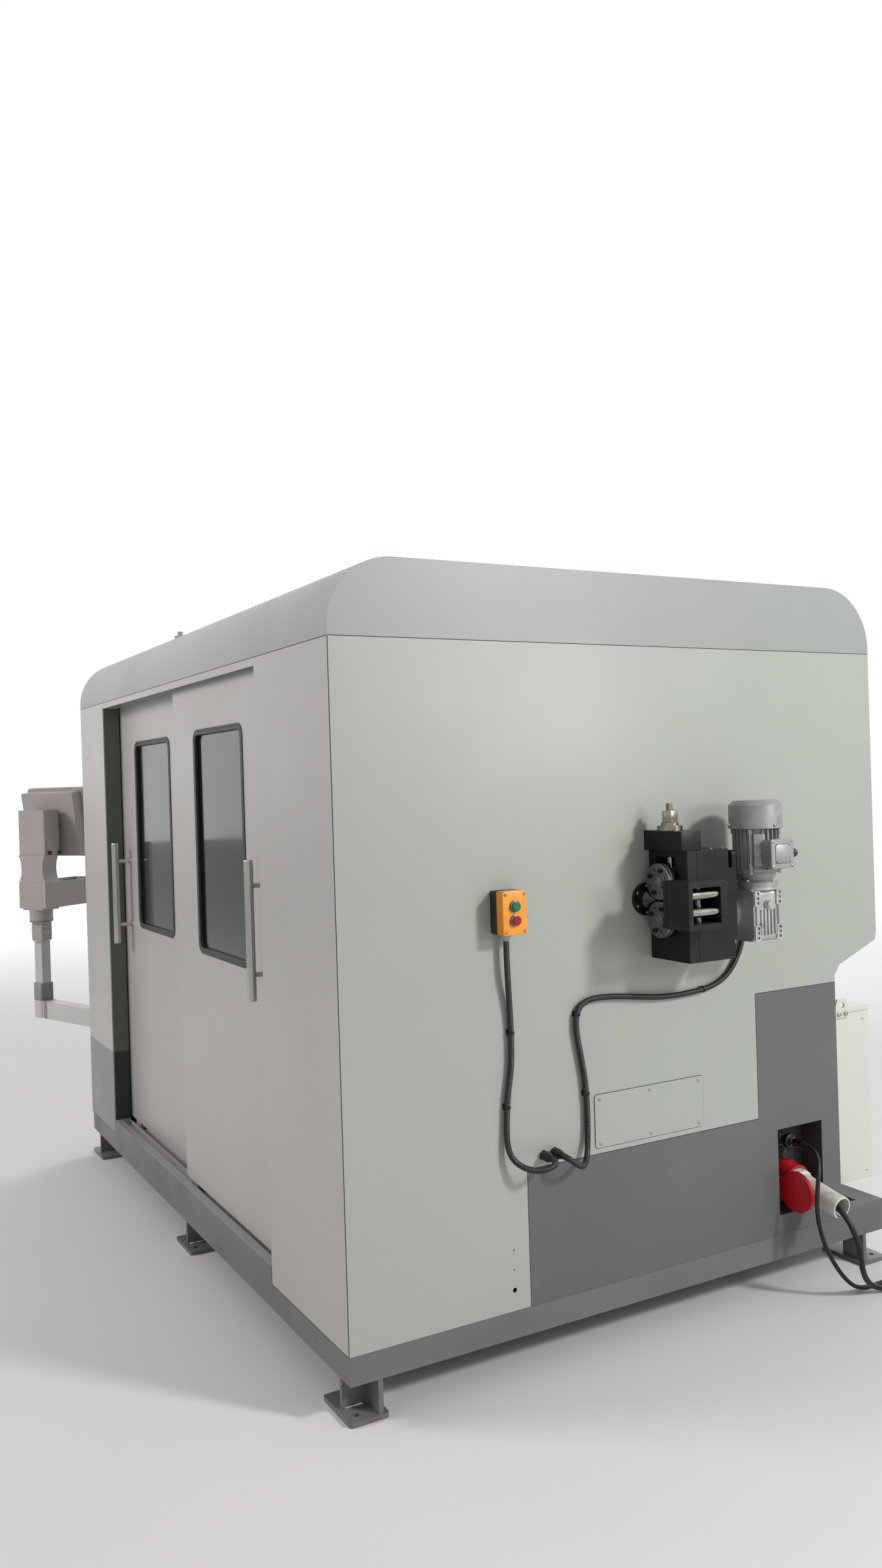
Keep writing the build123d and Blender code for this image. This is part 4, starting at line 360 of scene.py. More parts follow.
def weld_bead(name, start, along, run):
    """A run of weld laid in short ripples."""
    ripples = [(0, 1.5)]
    for lap in range(round(run / 5)):
        ripples += [(lap * 5 + 2.6, 3.8), (lap * 5 + 4.8, 2.9)]
    ripples.append((run + 1, 1.2))
    return fasten(name, weld_steel, turned(start, along, ripples, 12))


for count, (bead_x, side) in enumerate(((1171, -1), (-1171, -1), (1171, 1), (-1171, 1),
                                        (-11, -1), (-11, 1))):
    weld_bead(f"foot_weld_{count + 1}", (bead_x, side * 852, 13), (0, -side, 0), 46)


# Enclosure: panels of 3 mm sheet, folded and bolted to the frame, powder coated a pale grey
# green, with a darker panel low on the end. Fine dark gaps show at the eave, round the dark
# panel and where the end meets the front.
panel_paint = coat("panel_paint", (162, 166, 158), 0.34, drift=0.018, patch=0.9, pitch=380,
                   wave=0.06, stain=((166, 165, 146), 0.14, 4.5))
roof_paint = coat("roof_paint", (148, 151, 147), 0.34, drift=0.02, patch=0.9, uneven=0.07,
                  pitch=380, wave=0.06, stain=((139, 140, 133), 0.2, 5.5))
# Painted light: the doors, tracks and column fronts wear the end panels' paint, painted a touch
# lighter and less green for the light the fronts catch.
front_paint = coat("front_paint", (168, 166, 164), 0.33, drift=0.02, patch=1.1, grain=0.16,
                   pitch=380, wave=0.07)
dark_paint = coat("dark_paint", (92, 94, 94), 0.38, drift=0.03, patch=1.6, grain=0.16, pitch=380,
                  wave=0.05, stain=((103, 102, 96), 0.2, 4))
dress(panel_paint, "near_end_panel", "far_end_panel", "rear_wall", "cover_plate")
dress(roof_paint, "roof_cover")
dress(front_paint, "door_tracks", "near_door", "far_door")
dress(dark_paint, "dark_end_panel")
gap_black = coat("gap_black", (30, 31, 32), 0.7, drift=0.15, patch=30, grain=0.15, pitch=350)
end_face = 1240


def slab(low, high, ease=0, steps=2):
    """A block between two corners, in millimetres, with its edges eased."""
    take()
    low, high = Vector(low) / 1000, Vector(high) / 1000
    bpy.ops.mesh.primitive_cube_add(size=1, location=(low + high) / 2)
    bpy.context.object.scale = high - low
    bpy.ops.object.transform_apply()
    if ease:
        open_mesh()
        bpy.ops.mesh.bevel(offset=ease / 1000, segments=steps, affect="EDGES")
        bpy.ops.object.mode_set(mode="OBJECT")
    return bpy.context.object


gap_runs = [
    ((1239.5, -866, 1788.8), (1240.35, 868, 1790.6)),
    ((-1240.35, -866, 1788.8), (-1239.5, 868, 1790.6)),
    ((-1238, -868.35, 1788.8), (1238, -867.5, 1790.6)),
    ((-1238, 869.5, 1788.8), (1238, 870.35, 1790.6)),
    ((1239.5, -868.2, 160), (1240.3, -866.6, 1790)),
    ((-1240.3, -868.2, 160), (-1239.5, -866.6, 1790)),
    ((1239.5, -378, 160), (1240.35, -376.2, 496)),
    ((1239.5, -378, 494.2), (1240.35, 386, 496)),
    ((1239.5, 384.2, 494.2), (1240.35, 386, 841)),
    ((1239.5, 384.2, 839.2), (1240.35, 693, 841)),
    ((764.2, -868.35, 160), (766, -867.5, 207)),
    ((-869, -868.35, 160), (-867.2, -867.5, 207)),
    ((766, -868.6, 159.2), (1238, -867.5, 161)),
    ((-1238, -868.6, 159.2), (-869, -867.5, 161))]
fasten("panel_gaps", gap_black, joined(
    [slab(low, high, 0.15, 1) for low, high in gap_runs]))
# Painted shade on the far column's inner jamb: above 466 mm the panel paint is darkened to its
# shaded tone, and below it the dark lower band's paint is darkened further.
recess_shade = coat("recess_shade", (88, 90, 84), 0.5, patch=2, grain=0.15, pitch=350,
                    shine=0.3)
deep_shade = coat("deep_shade", (47, 48, 48), 0.5, drift=0.06, patch=2, grain=0.15, pitch=350,
                  shine=0.3)
fasten("jamb_painted_shade", recess_shade,
       slab((-868, -865, 466), (-867.4, -808, 1768), 0.1, 1))
fasten("jamb_foot_painted_shade", deep_shade,
       slab((-868, -865, 208), (-867.4, -808, 466), 0.1, 1))
# The far column's lower front carries the dark band's paint, painted lighter with the sheen it
# shows at a grazing angle.
lower_band_paint_and_sheen = coat("column_band_paint_and_sheen", (124, 123, 122), 0.34, drift=0.03, patch=1.6, grain=0.15,
                  pitch=350)
fasten("column_foot_panel", lower_band_paint_and_sheen,
       slab((-1239, -868.9, 161), (-869.6, -868, 466), 0.3, 1))
fasten("column_fronts", front_paint, joined([
    slab((766.6, -868.6, 161.4), (1238.8, -868, 1788.4), 0.25, 1),
    slab((-1238.8, -868.6, 466.4), (-869.6, -868, 1788.4), 0.25, 1)]))
fasten("sill_face", base_paint,
       slab((-866.8, -868.8, 160.4), (763.8, -868, 207.2), 0.3, 1))
# Painted light: the sill ledge is the base frame's grey, painted lighter for the light that falls
# on its top.
ledge_lit_paint = coat("sill_ledge_lit_paint", (140, 139, 138), 0.36, drift=0.03, patch=2.4, grain=0.15,
                   pitch=350)
fasten("sill_ledge", ledge_lit_paint,
       slab((-866.8, -869, 207), (763.8, -842, 208.4), 0.4, 1))


# Cover plate on the end: a pressed blank over a spare opening, held by six pan head screws
# that are painted over. A dark gap runs round its edge, and one more screw sits above.
def stood(piece, spot, side, up, out):
    """Sets a piece that was made round the origin at a spot, on three axes of its own."""
    piece.matrix_world = Matrix.Translation(Vector(spot) / 1000) @ Matrix(
        (side, up, out)).transposed().to_4x4()
    return piece


def rounded(middle, wide, high, corner, depth, facing, band=0, steps=8):
    """A plate with rounded corners, or with a band a ring of it round a wide by high
    opening, drawn on a plane and then drawn out towards facing."""
    take()
    bpy.ops.mesh.primitive_plane_add(size=1)
    piece = bpy.context.object
    piece.scale = ((wide + 2 * band) / 1000, (high + 2 * band) / 1000, 1)
    bpy.ops.object.transform_apply()
    open_mesh()
    if corner:
        bpy.ops.mesh.bevel(offset=(corner + band) / 1000, segments=steps, affect="VERTICES")
        bpy.ops.mesh.select_all(action="SELECT")
    if band:
        bpy.ops.mesh.inset(thickness=band / 1000, depth=0)
        bpy.ops.mesh.delete(type="ONLY_FACE")
        bpy.ops.mesh.select_all(action="SELECT")
    bpy.ops.mesh.extrude_region_move(TRANSFORM_OT_translate={"value": (0, 0, depth / 1000)})
    close_mesh()
    out = Vector(facing).normalized()
    up = Vector((0, 1, 0)) if abs(out.z) > 0.9 else Vector((0, 0, 1))
    side = up.cross(out).normalized()
    stood(piece, middle, side, out.cross(side), out)
    bpy.ops.object.transform_apply()
    return piece


def cut(piece, tool):
    """Cuts the tool's shape out of a piece."""
    take(piece)
    step = piece.modifiers.new("cut", "BOOLEAN")
    step.operation = "DIFFERENCE"
    step.object = tool
    bpy.ops.object.modifier_apply(modifier="cut")
    bpy.data.objects.remove(tool)
    return piece


def eased(piece, width, steps=2):
    """Rounds a piece's sharp edges."""
    take(piece)
    step = piece.modifiers.new("edge", "BEVEL")
    step.width = width / 1000
    step.segments = steps
    step.limit_method = "ANGLE"
    step.angle_limit = radians(40)
    bpy.ops.object.modifier_apply(modifier="edge")
    return piece


def pan_head(radius, height):
    """A pan head screw with its cross recess, standing on the origin."""
    head = turned((0, 0, -0.4), (0, 0, 1), [(0, radius), (height * 0.5, radius), (
        height * 0.82, radius * 0.84), (height + 0.4, radius * 0.5)], 20)
    long, short = radius * 0.62, radius * 0.13
    for half_x, half_y in ((long, short), (short, long)):
        cut(head, slab((-half_x, -half_y, height * 0.55), (half_x, half_y, height * 2)))
    return head


def socket_head(radius, height):
    """A cap screw's head with its six-sided socket."""
    head = turned((0, 0, -0.4), (0, 0, 1), [(0, radius), (height, radius),
                                            (height + 0.4, radius * 0.93)], 24)
    return cut(head, turned((0, 0, height * 0.45), (0, 0, 1),
                            [(0, radius * 0.52), (height, radius * 0.52)], 6))


def placed(pattern, spots):
    """One piece made of the pattern's copies, each at a spot and turned to face its way."""
    copies = []
    for spot, facing in spots:
        copy = pattern.copy()
        copy.data = pattern.data.copy()
        bpy.context.collection.objects.link(copy)
        copy.matrix_world = Matrix.Translation(Vector(spot) / 1000) @ Vector(
            facing).to_track_quat("Z", "Y").to_matrix().to_4x4()
        copies.append(copy)
    bpy.data.objects.remove(pattern)
    return joined(copies)


end_way, front_way, top_way = (1, 0, 0), (0, -1, 0), (0, 0, 1)


def crossings(x, ys, zs, facing=end_way):
    """The spots where lines across and lines up cross on a face, each with its facing."""
    return [((x, y, z), facing) for y in ys for z in zs]


fasten("cover_gap", gap_black,
       rounded((end_face, 8.5, 577.5), 357, 135, 9, 0.5, end_way, band=1.4))
fasten("cover_screws", panel_paint, placed(
    pan_head(5, 2.6), crossings(1242, (-154, 8, 171), (521, 634))))
steel_screw = coat("steel_screw", (176, 174, 168), 0.3, metallic=0.9, drift=0.12, patch=60,
                   uneven=0.12)


def screws(name, head, spots, body="machine"):
    """Bright steel screws or bolts, one at each spot."""
    return settle(name, steel_screw, body, placed(head, spots))


screws("wall_screw", pan_head(4.2, 2.8), [((end_face, -217, 879), end_way)])


# Rear cover: a removable plate in the middle of the rear wall, with two stacks of pressed
# louvres and eight pan head screws. Two upright seams part the wall's sheets.
def louvre(wide):
    """A pressed louvre: a half-round hood over a slit, standing on the origin."""
    hood = turned((-wide / 2, 0, 0), (1, 0, 0), [(0, 2), (3, 5), (wide - 3, 5), (wide, 2)], 20)
    cut(hood, slab((-wide, -8, -8), (wide, 8, 0)))
    return cut(hood, slab((-wide / 2 + 2, -6, -0.5), (wide / 2 - 2, -1.2, 3)))


back_way = (0, 1, 0)
cover_z, cover_face = 1350, 872.1
fasten("rear_seams", gap_black, joined([
    slab((x - 0.9, 869.4, 972), (x + 0.9, 870.35, 1789), 0.15, 1) for x in (-560, 560)]))
fasten("rear_cover_gap", gap_black,
       rounded((0, 869.4, cover_z), 703, 403, 13.5, 1, back_way))
fasten("rear_cover", panel_paint,
       eased(rounded((0, 869.6, cover_z), 700, 400, 12, 2.6, back_way), 0.6))
screws("rear_cover_screws", pan_head(5, 2.4), [
    ((x, cover_face, cover_z + z), back_way) for x in (-330, -110, 110, 330) for z in (-180, 180)])
fasten("rear_louvres", panel_paint, placed(louvre(180), [
    ((x, cover_face, cover_z + z), back_way) for x in (-165, 165) for z in range(-120, 121, 30)]))


# Doors: two folded leaves that slide on a sill track, each with a pane of toughened glass in
# a black rubber profile, and a bar handle of polished stainless tube on two posts.
rubber = coat("gasket_rubber", (27, 27, 28), 0.42, drift=0.12, patch=18, uneven=0.08, pitch=500)
window_glass = coat("window_glass", (206, 214, 212), 0.05, drift=0.02, patch=1.4, uneven=0.03,
                    grain=0.03, pitch=30)
window_glass.node_tree.nodes["Principled BSDF"].inputs["Transmission Weight"].default_value = 1
dress(window_glass, "near_window", "far_window")
handle_steel = coat("handle_steel", (186, 183, 178), 0.2, metallic=1.0, grain=0.1, pitch=700,
                    stretch=(1, 1, 0.06))
dress(handle_steel, "near_handle", "far_handle")

window_z, window_high = 1292.5, 664
for leaf, skin_y, left, wide in (("near", -838, 150, 425), ("far", -803, -665, 430)):
    middle_x = left + wide / 2
    lip = rounded((middle_x, skin_y, window_z), wide - 1, window_high, 29, 2.5, front_way,
                  band=8)
    seat = rounded((middle_x, skin_y + 8, window_z), wide - 21, window_high - 20, 20, 10.5,
                   front_way, band=10)
    settle(f"{leaf}_gasket", rubber, f"{leaf}_leaf",
           eased(joined([lip, seat]), 0.8))
    bead = rounded((middle_x, skin_y + 14, window_z), wide - 21, window_high - 20, 20, 12.5,
                   back_way, band=10)
    settle(f"{leaf}_gasket_back", rubber, f"{leaf}_leaf", eased(bead, 0.8))

for leaf, skin_y, bar_x in (("near", -838, 697), ("far", -803, -788)):
    settle(f"{leaf}_handle_roses", handle_steel, f"{leaf}_leaf", placed(
        turned((0, 0, 0), top_way, [(0, 11), (1.8, 11), (3, 9.4)], 32),
        [((bar_x, skin_y, z), front_way) for z in (956, 1192)]))


# Face plate and coiling head: a thick steel plate behind the doors carries the feed rolls,
# the wire guides and four slides with clamped tool bars, all of ground tool steel.
plate_steel = coat("plate_steel", (112, 116, 120), 0.38, metallic=0.75, drift=0.06, patch=3,
                   uneven=0.1, grain=0.12, pitch=600, stretch=(0.1, 1, 1))
tool_steel = coat("tool_steel", (150, 150, 150), 0.32, metallic=0.9, drift=0.07, patch=12,
                  uneven=0.1, grain=0.15, pitch=800)
roll_steel = coat("roll_steel", (152, 149, 143), 0.16, metallic=1.0, patch=20, grain=0.06)
dress(plate_steel, "face_plate")
dress(tool_steel, "upper_coiling_slide", "lower_coiling_slide", "cutter_slide", "pitch_slide",
      "wire_guides", "bearing_block")
dress(roll_steel, "lower_feed_roll", "upper_feed_roll")
black_oxide = coat("black_oxide", (33, 33, 34), 0.35, metallic=0.4, drift=0.12, patch=50,
                   uneven=0.1)
wire_z = 1130.5
for slide, angle in (("upper_coiling", 135), ("lower_coiling", 225), ("cutter", 90),
                     ("pitch", 270)):
    way = Vector((cos(radians(angle)), 0, sin(radians(angle))))
    side = Vector((way.z, 0, -way.x))
    settle(f"{slide}_clamp_screws", black_oxide, slide, placed(
        socket_head(6.5, 6), [(Vector((-20, -6, wire_z)) + way * reach + side * across_by,
                               front_way) for reach in (203, 247) for across_by in (-15, 15)]))
for roll, high in (("lower", 1084), ("upper", 1177)):
    settle(f"{roll}_feed_nut", black_oxide, f"{roll}_feed", turned(
        (330, -9, high), front_way, [(0, 15), (7.5, 15), (9, 13.4), (9, 7), (6, 7)], 6))


# Pre-feed unit: a steel body with a black oxide finish, split at the cheek that carries the
# two grooved discs. A bridge cap over the slot holds the pressure screw in a nickel plated
# flange and lock nut.
unit_black = coat("unit_black", (19, 19, 20), 0.42, drift=0.1, patch=5, uneven=0.09, grain=0.14,
                  pitch=650, stain=((38, 37, 36), 0.3, 14), shine=0.28)
guide_black = coat("guide_black", (23, 23, 24), 0.4, drift=0.1, patch=7, uneven=0.09, grain=0.14,
                   pitch=650, stain=((42, 41, 40), 0.3, 18), shine=0.28)
dress(unit_black, "unit_body")
dress(guide_black, "guide_box")
nickel = coat("nickel", (146, 141, 128), 0.22, metallic=1.0, drift=0.06, patch=26, uneven=0.08,
              grain=0.08)
dress(nickel, "pressure_screw")
screw_x, screw_y, screw_bore = 1310, 44, 9.3


def bored(piece, low, run):
    """Bores the pressure screw's hole through a piece."""
    return cut(piece, turned((screw_x, screw_y, low), top_way,
                             [(0, screw_bore), (run, screw_bore)], 32))


bridge_cap = fasten("bridge_cap", unit_black, bored(
    slab((end_face, 14, 1258), (1388, 78, 1309), 1.6), 1250, 80))
fasten("pressure_flange", nickel, bored(turned(
    (screw_x, screw_y, 1309), top_way,
    [(0, 32.5), (12, 32.5), (13, 31.5), (13, 22.5), (20, 22.5), (21, 21.4)], 64), 1300, 40))
fasten("pressure_nut", nickel, bored(eased(turned(
    (screw_x, screw_y, 1330), top_way, [(0, 21.5), (30, 21.5)], 6), 1.6, 3), 1320, 50))
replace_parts(bridge_cap, "pressure_cap")


# Grooved discs: turned rolls with the marks of the lathe on their faces, each held on its
# hub by four black cap screws sunk in counterbores. The hub has a centre hole.
def lathe_marks(material, x, z):
    """Fine rings round a turned face's centre, in millimetres, on the finish."""
    nodes, links = material.node_tree.nodes, material.node_tree.links
    where, lay = nodes.new("ShaderNodeTexCoord"), nodes.new("ShaderNodeMapping")
    lay.inputs["Location"].default_value = (-x / 1000, 0, -z / 1000)
    rings, rise = nodes.new("ShaderNodeTexWave"), nodes.new("ShaderNodeBump")
    rings.wave_type, rings.rings_direction = "RINGS", "Y"
    rings.inputs["Scale"].default_value = 120
    rings.inputs["Distortion"].default_value = 0.6
    rise.inputs["Strength"].default_value = 0.1
    rise.inputs["Distance"].default_value = 0.0002
    skin = nodes["Principled BSDF"]
    links.new(where.outputs["Object"], lay.inputs["Vector"])
    links.new(lay.outputs["Vector"], rings.inputs["Vector"])
    links.new(rings.outputs["Color"], rise.inputs["Height"])
    links.new(skin.inputs["Normal"].links[0].from_socket, rise.inputs["Normal"])
    links.new(rise.outputs["Normal"], skin.inputs["Normal"])
    return material


def on_circle(x, y, z, reach, angles):
    """Spots on a circle that faces the front."""
    return [((x + reach * cos(radians(angle)), y, z + reach * sin(radians(angle))), front_way)
            for angle in angles]


disc_x, lower_z, upper_z = 1305, 1082, 1179
for disc, high in (("lower", lower_z), ("upper", upper_z)):
    face_steel = lathe_marks(coat(f"{disc}_disc_steel", (124, 124, 122), 0.3, metallic=0.9,
                                  drift=0.04, patch=16, grain=0.06, pitch=800),
                             disc_x, high)
    dress(face_steel, f"{disc}_roll")
    settle(f"{disc}_disc_screws", black_oxide, f"{disc}_disc", placed(
        socket_head(5.5, 12), on_circle(disc_x, 8, high, 31, (65, 155, 245, 335))))
    settle(f"{disc}_hub_ring", face_steel, f"{disc}_disc", turned(
        (disc_x, 1.2, high), front_way, [(0, 12), (1, 12), (1.6, 11), (1.6, 4.4), (0.7, 3.6)],
        40))


# Guide box: a milled block in front of the discs with two level and two upright rollers of
# hardened, polished steel. Small set screws close its side, and two screws hold its plate.
dress(roll_steel, "upper_guide_roller", "lower_guide_roller", "front_guide_roller",
      "rear_guide_roller")
set_screw = turned((0, 0, -0.5), top_way, [(0, 3), (0.7, 3), (0.9, 2.6), (0.9, 1.4), (0.4, 1.2)],
                   18)
fasten("guide_set_screws", black_oxide, placed(set_screw, [
    ((1441, -35, z), front_way) for z in (1169, 1134, 1088)]))
fasten("guide_plate_screws", black_oxide, placed(
    turned((0, 0, -0.5), top_way, [(0, 6), (0.8, 6), (1, 5.6), (1, 4.6), (0.6, 4.6),
                                   (0.6, 4.1), (1.9, 4), (2.2, 3.4), (2.2, 1.9), (1, 1.8)], 24),
    crossings(1390, (157,), (1165, 1091))))
fasten("unit_top_screws", nickel, placed(
    pan_head(5, 3.4), [((1371, 125, 1258), top_way), ((1366, 168, 1258), top_way)]))


# Inlet tube: a turned flange with a glossy black finish behind the discs. Small bright screws
# hold it to the end panel, and the four that the discs don't hide are made.
gloss_black = coat("gloss_black", (22, 22, 23), 0.13, drift=0.1, patch=20, uneven=0.05,
                   grain=0.05, pitch=600)
dress(gloss_black, "inlet_tube")
fasten("inlet_screws", nickel, placed(pan_head(4, 3), [
    ((1248, 12 + 34 * cos(radians(angle)), wire_z + 34 * sin(radians(angle))), end_way)
    for angle in (90, 150, 210, 270)]))


# Worm gearbox and feed motor: aluminium castings. The gearbox is left bright, and the motor
# is painted silver, with a pressed fan cover, four tie bolts in cast lugs, a terminal box
# with a raised lid, and one blind gland.
cast_metal = coat("cast_metal", (182, 182, 180), 0.36, metallic=0.6, drift=0.06, patch=18,
                  uneven=0.12, grain=0.5, stain=((132, 131, 127), 0.35, 30))
motor_silver = coat("motor_silver", (148, 148, 146), 0.4, metallic=0.35, patch=16, uneven=0.1,
                    grain=0.35, stain=((130, 130, 127), 0.25, 26))
dress(cast_metal, "gearbox_housing")
dress(motor_silver, "feed_motor", "terminal_box")
motor_x, motor_y = 1363, 288


def round_motor(angle, reach, z):
    """A point round the motor's axis."""
    return (motor_x + reach * cos(radians(angle)), motor_y + reach * sin(radians(angle)), z)


def outward(angle):
    """The way out from the motor's axis."""
    return (cos(radians(angle)), sin(radians(angle)), 0)


lugs, bolts = [], []
lug_angles = (-59, 31, 121, 211)
for angle in lug_angles:
    for low, high in ((1196, 1214), (1290, 1305)):
        lugs.append(turned(round_motor(angle, 60, low), top_way,
                           [(0, 5.4), (1.5, 6.6), (high - low - 1.5, 6.6), (high - low, 5.4)], 16))
    lugs.append(turned(round_motor(angle, 57, 1212), top_way, [(0, 4), (80, 4)], 12))
    bolts.append(turned(round_motor(angle, 60, 1187), top_way,
                        [(0, 4.4), (1, 5.2), (6, 5.2), (6, 3.2), (10, 3.2)], 6))
    bolts.append(turned(round_motor(angle, 60, 1214), top_way,
                        [(0, 3.4), (2, 3.4), (2, 2), (74, 2), (74, 3.2), (77, 3.2)], 10))
cheek = slab((-11, -15, 0), (11, 15, 84), 3)
cheek.matrix_world = Matrix.Translation(Vector(round_motor(-36, 51, 1208)) / 1000) @ \
    Matrix.Rotation(radians(-36), 4, "Z")
bpy.ops.object.transform_apply()
lugs.append(cheek)
for z, reach in ((1236, 6), (1262, 7.4)):
    lugs.append(turned(round_motor(-40, 58, z), outward(-40),
                       [(0, reach + 1.5), (4, reach + 1), (5.5, reach - 1.5)], 20))
fasten("motor_lugs", motor_silver, joined(lugs))
fasten("motor_bolts", steel_screw, joined(bolts))
screws("fan_cover_screws", pan_head(5, 4), [
    (round_motor(angle, 68.6, 1314), outward(angle)) for angle in (0, 120, 240)])
fasten("fan_cover_rim", motor_silver, turned(
    (motor_x, motor_y, 1305), top_way,
    [(0, 69.4), (0.6, 70), (3.4, 70), (4, 69.4), (4, 60)], 72))
screws("motor_flange_screws", eased(turned((0, 0, -1), top_way, [(0, 5.6), (6.4, 5.6)], 6), 0.5), [
    (round_motor(angle, 47.4, 1166), top_way) for angle in (-75, 15, 105, 195)])
lid_y, lid_z = 286, 1241
fasten("terminal_lid_panel", motor_silver, eased(rounded(
    (1458, lid_y, lid_z), 50, 48, 6, 3.4, end_way, steps=1), 1.1))
fasten("terminal_lid_line", gap_black, rounded(
    (1458.3, lid_y, lid_z), 50.4, 48.4, 6.2, 0.5, end_way, band=0.9, steps=1))
fasten("terminal_lid_seam", gap_black, rounded(
    (1451.2, lid_y, lid_z), 73, 71, 6, 0.9, end_way, band=0.9))
screws("terminal_screws", pan_head(4.4, 2.8),
       crossings(1459.6, (253.5, 318.5), (1209.5, 1272.5)))
screws("gearbox_screws", socket_head(4.6, 4.6), on_circle(disc_x, 237.4, lower_z, 47,
                                                          (120, 145, 215, 240)))
fasten("oil_plug_washer", steel_screw, turned(
    (1403.8, 286.5, 1108), end_way, [(0, 12.6), (1.4, 12.6), (2, 11.8), (2, 9)], 32))


# Push-button box: a moulded black shell on the panel with an orange lid, two nickel bezels
# with coloured caps, and four screws sunk in the lid's corners. Faint frames for legends are
# moulded beside the buttons and above them.
shell_black = coat("shell_black", (30, 30, 31), 0.45, drift=0.1, patch=20, uneven=0.08,
                   grain=0.25)
lid_orange = coat("lid_orange", (238, 152, 48), 0.34, drift=0.025, grain=0.15,
                  stain=((222, 136, 42), 0.2, 30))
cap_green = coat("cap_green", (18, 112, 78), 0.22, drift=0.08, patch=30, grain=0.08, pitch=600)
cap_red = coat("cap_red", (152, 20, 34), 0.22, drift=0.08, patch=30, grain=0.08, pitch=600)
dress(cap_green, "green_button")
dress(cap_red, "red_button")
box_y, box_z, box_front = -427, 1132.5, 1298
button_heights = (1149, 1115)
button_spots = crossings(box_front, (box_y,), button_heights)
lid_corners = crossings(box_front, (box_y - 26.5, box_y + 26.5), (box_z - 45, box_z + 45))
fasten("button_shell", shell_black,
       eased(rounded((end_face, box_y, box_z), 68, 105, 6, 28, end_way), 0.8))
lid = eased(rounded((1269, box_y, box_z), 68, 105, 6, 29, end_way), 1.6, 3)
for z in button_heights:
    cut(lid, turned((1284, box_y, z), end_way, [(0, 11.6), (30, 11.6)], 40))
button_lid = fasten("button_lid", lid_orange, lid)
fasten("button_seam", gap_black,
       rounded((1267.6, box_y, box_z), 66.6, 103.6, 5, 1.8, end_way))
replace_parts(button_lid, "button_box")
fasten("button_bezels", nickel, placed(turned(
    (0, 0, 0), top_way, [(-14.4, 11.55), (-0.4, 11.55), (-0.4, 13.6), (3.6, 13.6), (3.8, 12.9),
                         (5.4, 12.7), (6, 12.2), (6, 11.4), (-14.2, 11.4)], 48),
    button_spots))
fasten("bezel_collars", gap_black, placed(turned(
    (0, 0, -0.5), top_way, [(0, 14.4), (1.5, 14.4), (1.9, 14), (1.9, 13)], 48),
    button_spots))
screws("lid_screws", pan_head(2.6, 0.9), lid_corners)
fasten("lid_screw_wells", gap_black, placed(turned(
    (0, 0, -0.4), top_way, [(0, 3.7), (0.55, 3.7), (0.6, 2.5)], 24), lid_corners))
fasten("legend_frames", lid_orange, joined([
    rounded((1297.8, box_y + y, z), wide, high, 1, 0.45, end_way, band=0.5, steps=2)
    for y, z, wide, high in ((-21.5, 1150, 11, 17), (-21.5, 1116, 11, 17),
                             (0, 1175, 24, 5))]))


# Glands and ties: moulded screw glands where the conduits enter the panel, the box and the
# motor, a blind gland on the terminal box, and tie straps on stuck-down pads.
gland_black = coat("gland_black", (24, 24, 25), 0.38, drift=0.12, patch=25, uneven=0.08,
                   pitch=800)
gland_grey = coat("gland_grey", (158, 160, 160), 0.4, patch=25, uneven=0.08, pitch=800)


def gland(start, way, flats, thick, sleeve, grips=0):
    """A gland's six-sided foot and the turned sleeve on it, with grips or plain."""
    foot = eased(turned(start, way, [(0, flats), (thick, flats)], 6), 0.8)
    tube = turned(Vector(start) + Vector(way) * thick, way, sleeve, 28)
    return [foot, ribbed(tube, way, grips) if grips else tube]


inward_way, down_way = (-1, 0, 0), (0, 0, -1)
glands = []
for gland_y, gland_z in ((-328, 522), (-296, 524)):
    glands += gland((end_face, gland_y, gland_z), end_way, 13.8, 9,
                    [(0, 12), (13, 12), (14, 11.4), (26, 8.8)], 0.7)
glands += gland((1302, 288, 1232), inward_way, 11.5, 9, [(0, 10), (6, 9.6), (10, 8.4)])
glands += gland((1441, 324, 1240), back_way, 14, 6, [(0, 13), (9, 13), (10, 12)], 0.7)
glands.append(turned((1441, 340, 1240), back_way,
                     [(0, 12), (5, 11.2), (9, 8.8), (11.6, 5.4), (12.6, 1.8)], 28))
panel_glands = fasten("panel_glands", gland_black, joined(glands))
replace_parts(panel_glands, "cable_fittings")
fasten("box_gland", gland_grey, turned(
    (1262, -432, 1081), down_way, [(0, 13), (5, 13), (6, 12.2), (16, 8.8), (18, 8.6)], 32))

box_run = [(1262, -432, 1063), (1262, -432, 1022), (1261, -430, 975), (1254, -424, 925),
           (1250, -419, 867), (1250.3, -418.5, 809), (1250, -421, 750), (1250.2, -433, 690),
           (1250, -438, 630), (1252, -441, 576), (1261, -436, 540), (1277, -414, 516),
           (1298, -386, 508), (1312, -356, 513), (1303, -328, 522), (1275, -328, 522)]
motor_run = [(1275, -296, 524), (1297, -296, 524), (1308, -279, 510), (1297, -254, 494),
             (1275, -227, 492), (1257, -207, 514), (1250, -200, 562), (1250.3, -199, 626),
             (1250, -203, 690), (1250.2, -213, 748), (1250, -223, 800), (1250.3, -227, 842),
             (1250, -217, 876), (1250.2, -186, 892), (1250, -138, 893), (1250.2, -89, 889),
             (1250, -30, 881), (1250.3, 30, 873), (1250, 95, 870), (1250.3, 160, 873),
             (1250, 220, 880), (1250.4, 268, 899), (1250, 305, 934), (1250.5, 333, 985),
             (1250, 346, 1048), (1250.6, 349, 1112), (1250, 339, 1166), (1250, 318, 1203),
             (1252, 298, 1223), (1262, 288, 1232), (1283, 288, 1232)]
straps = []
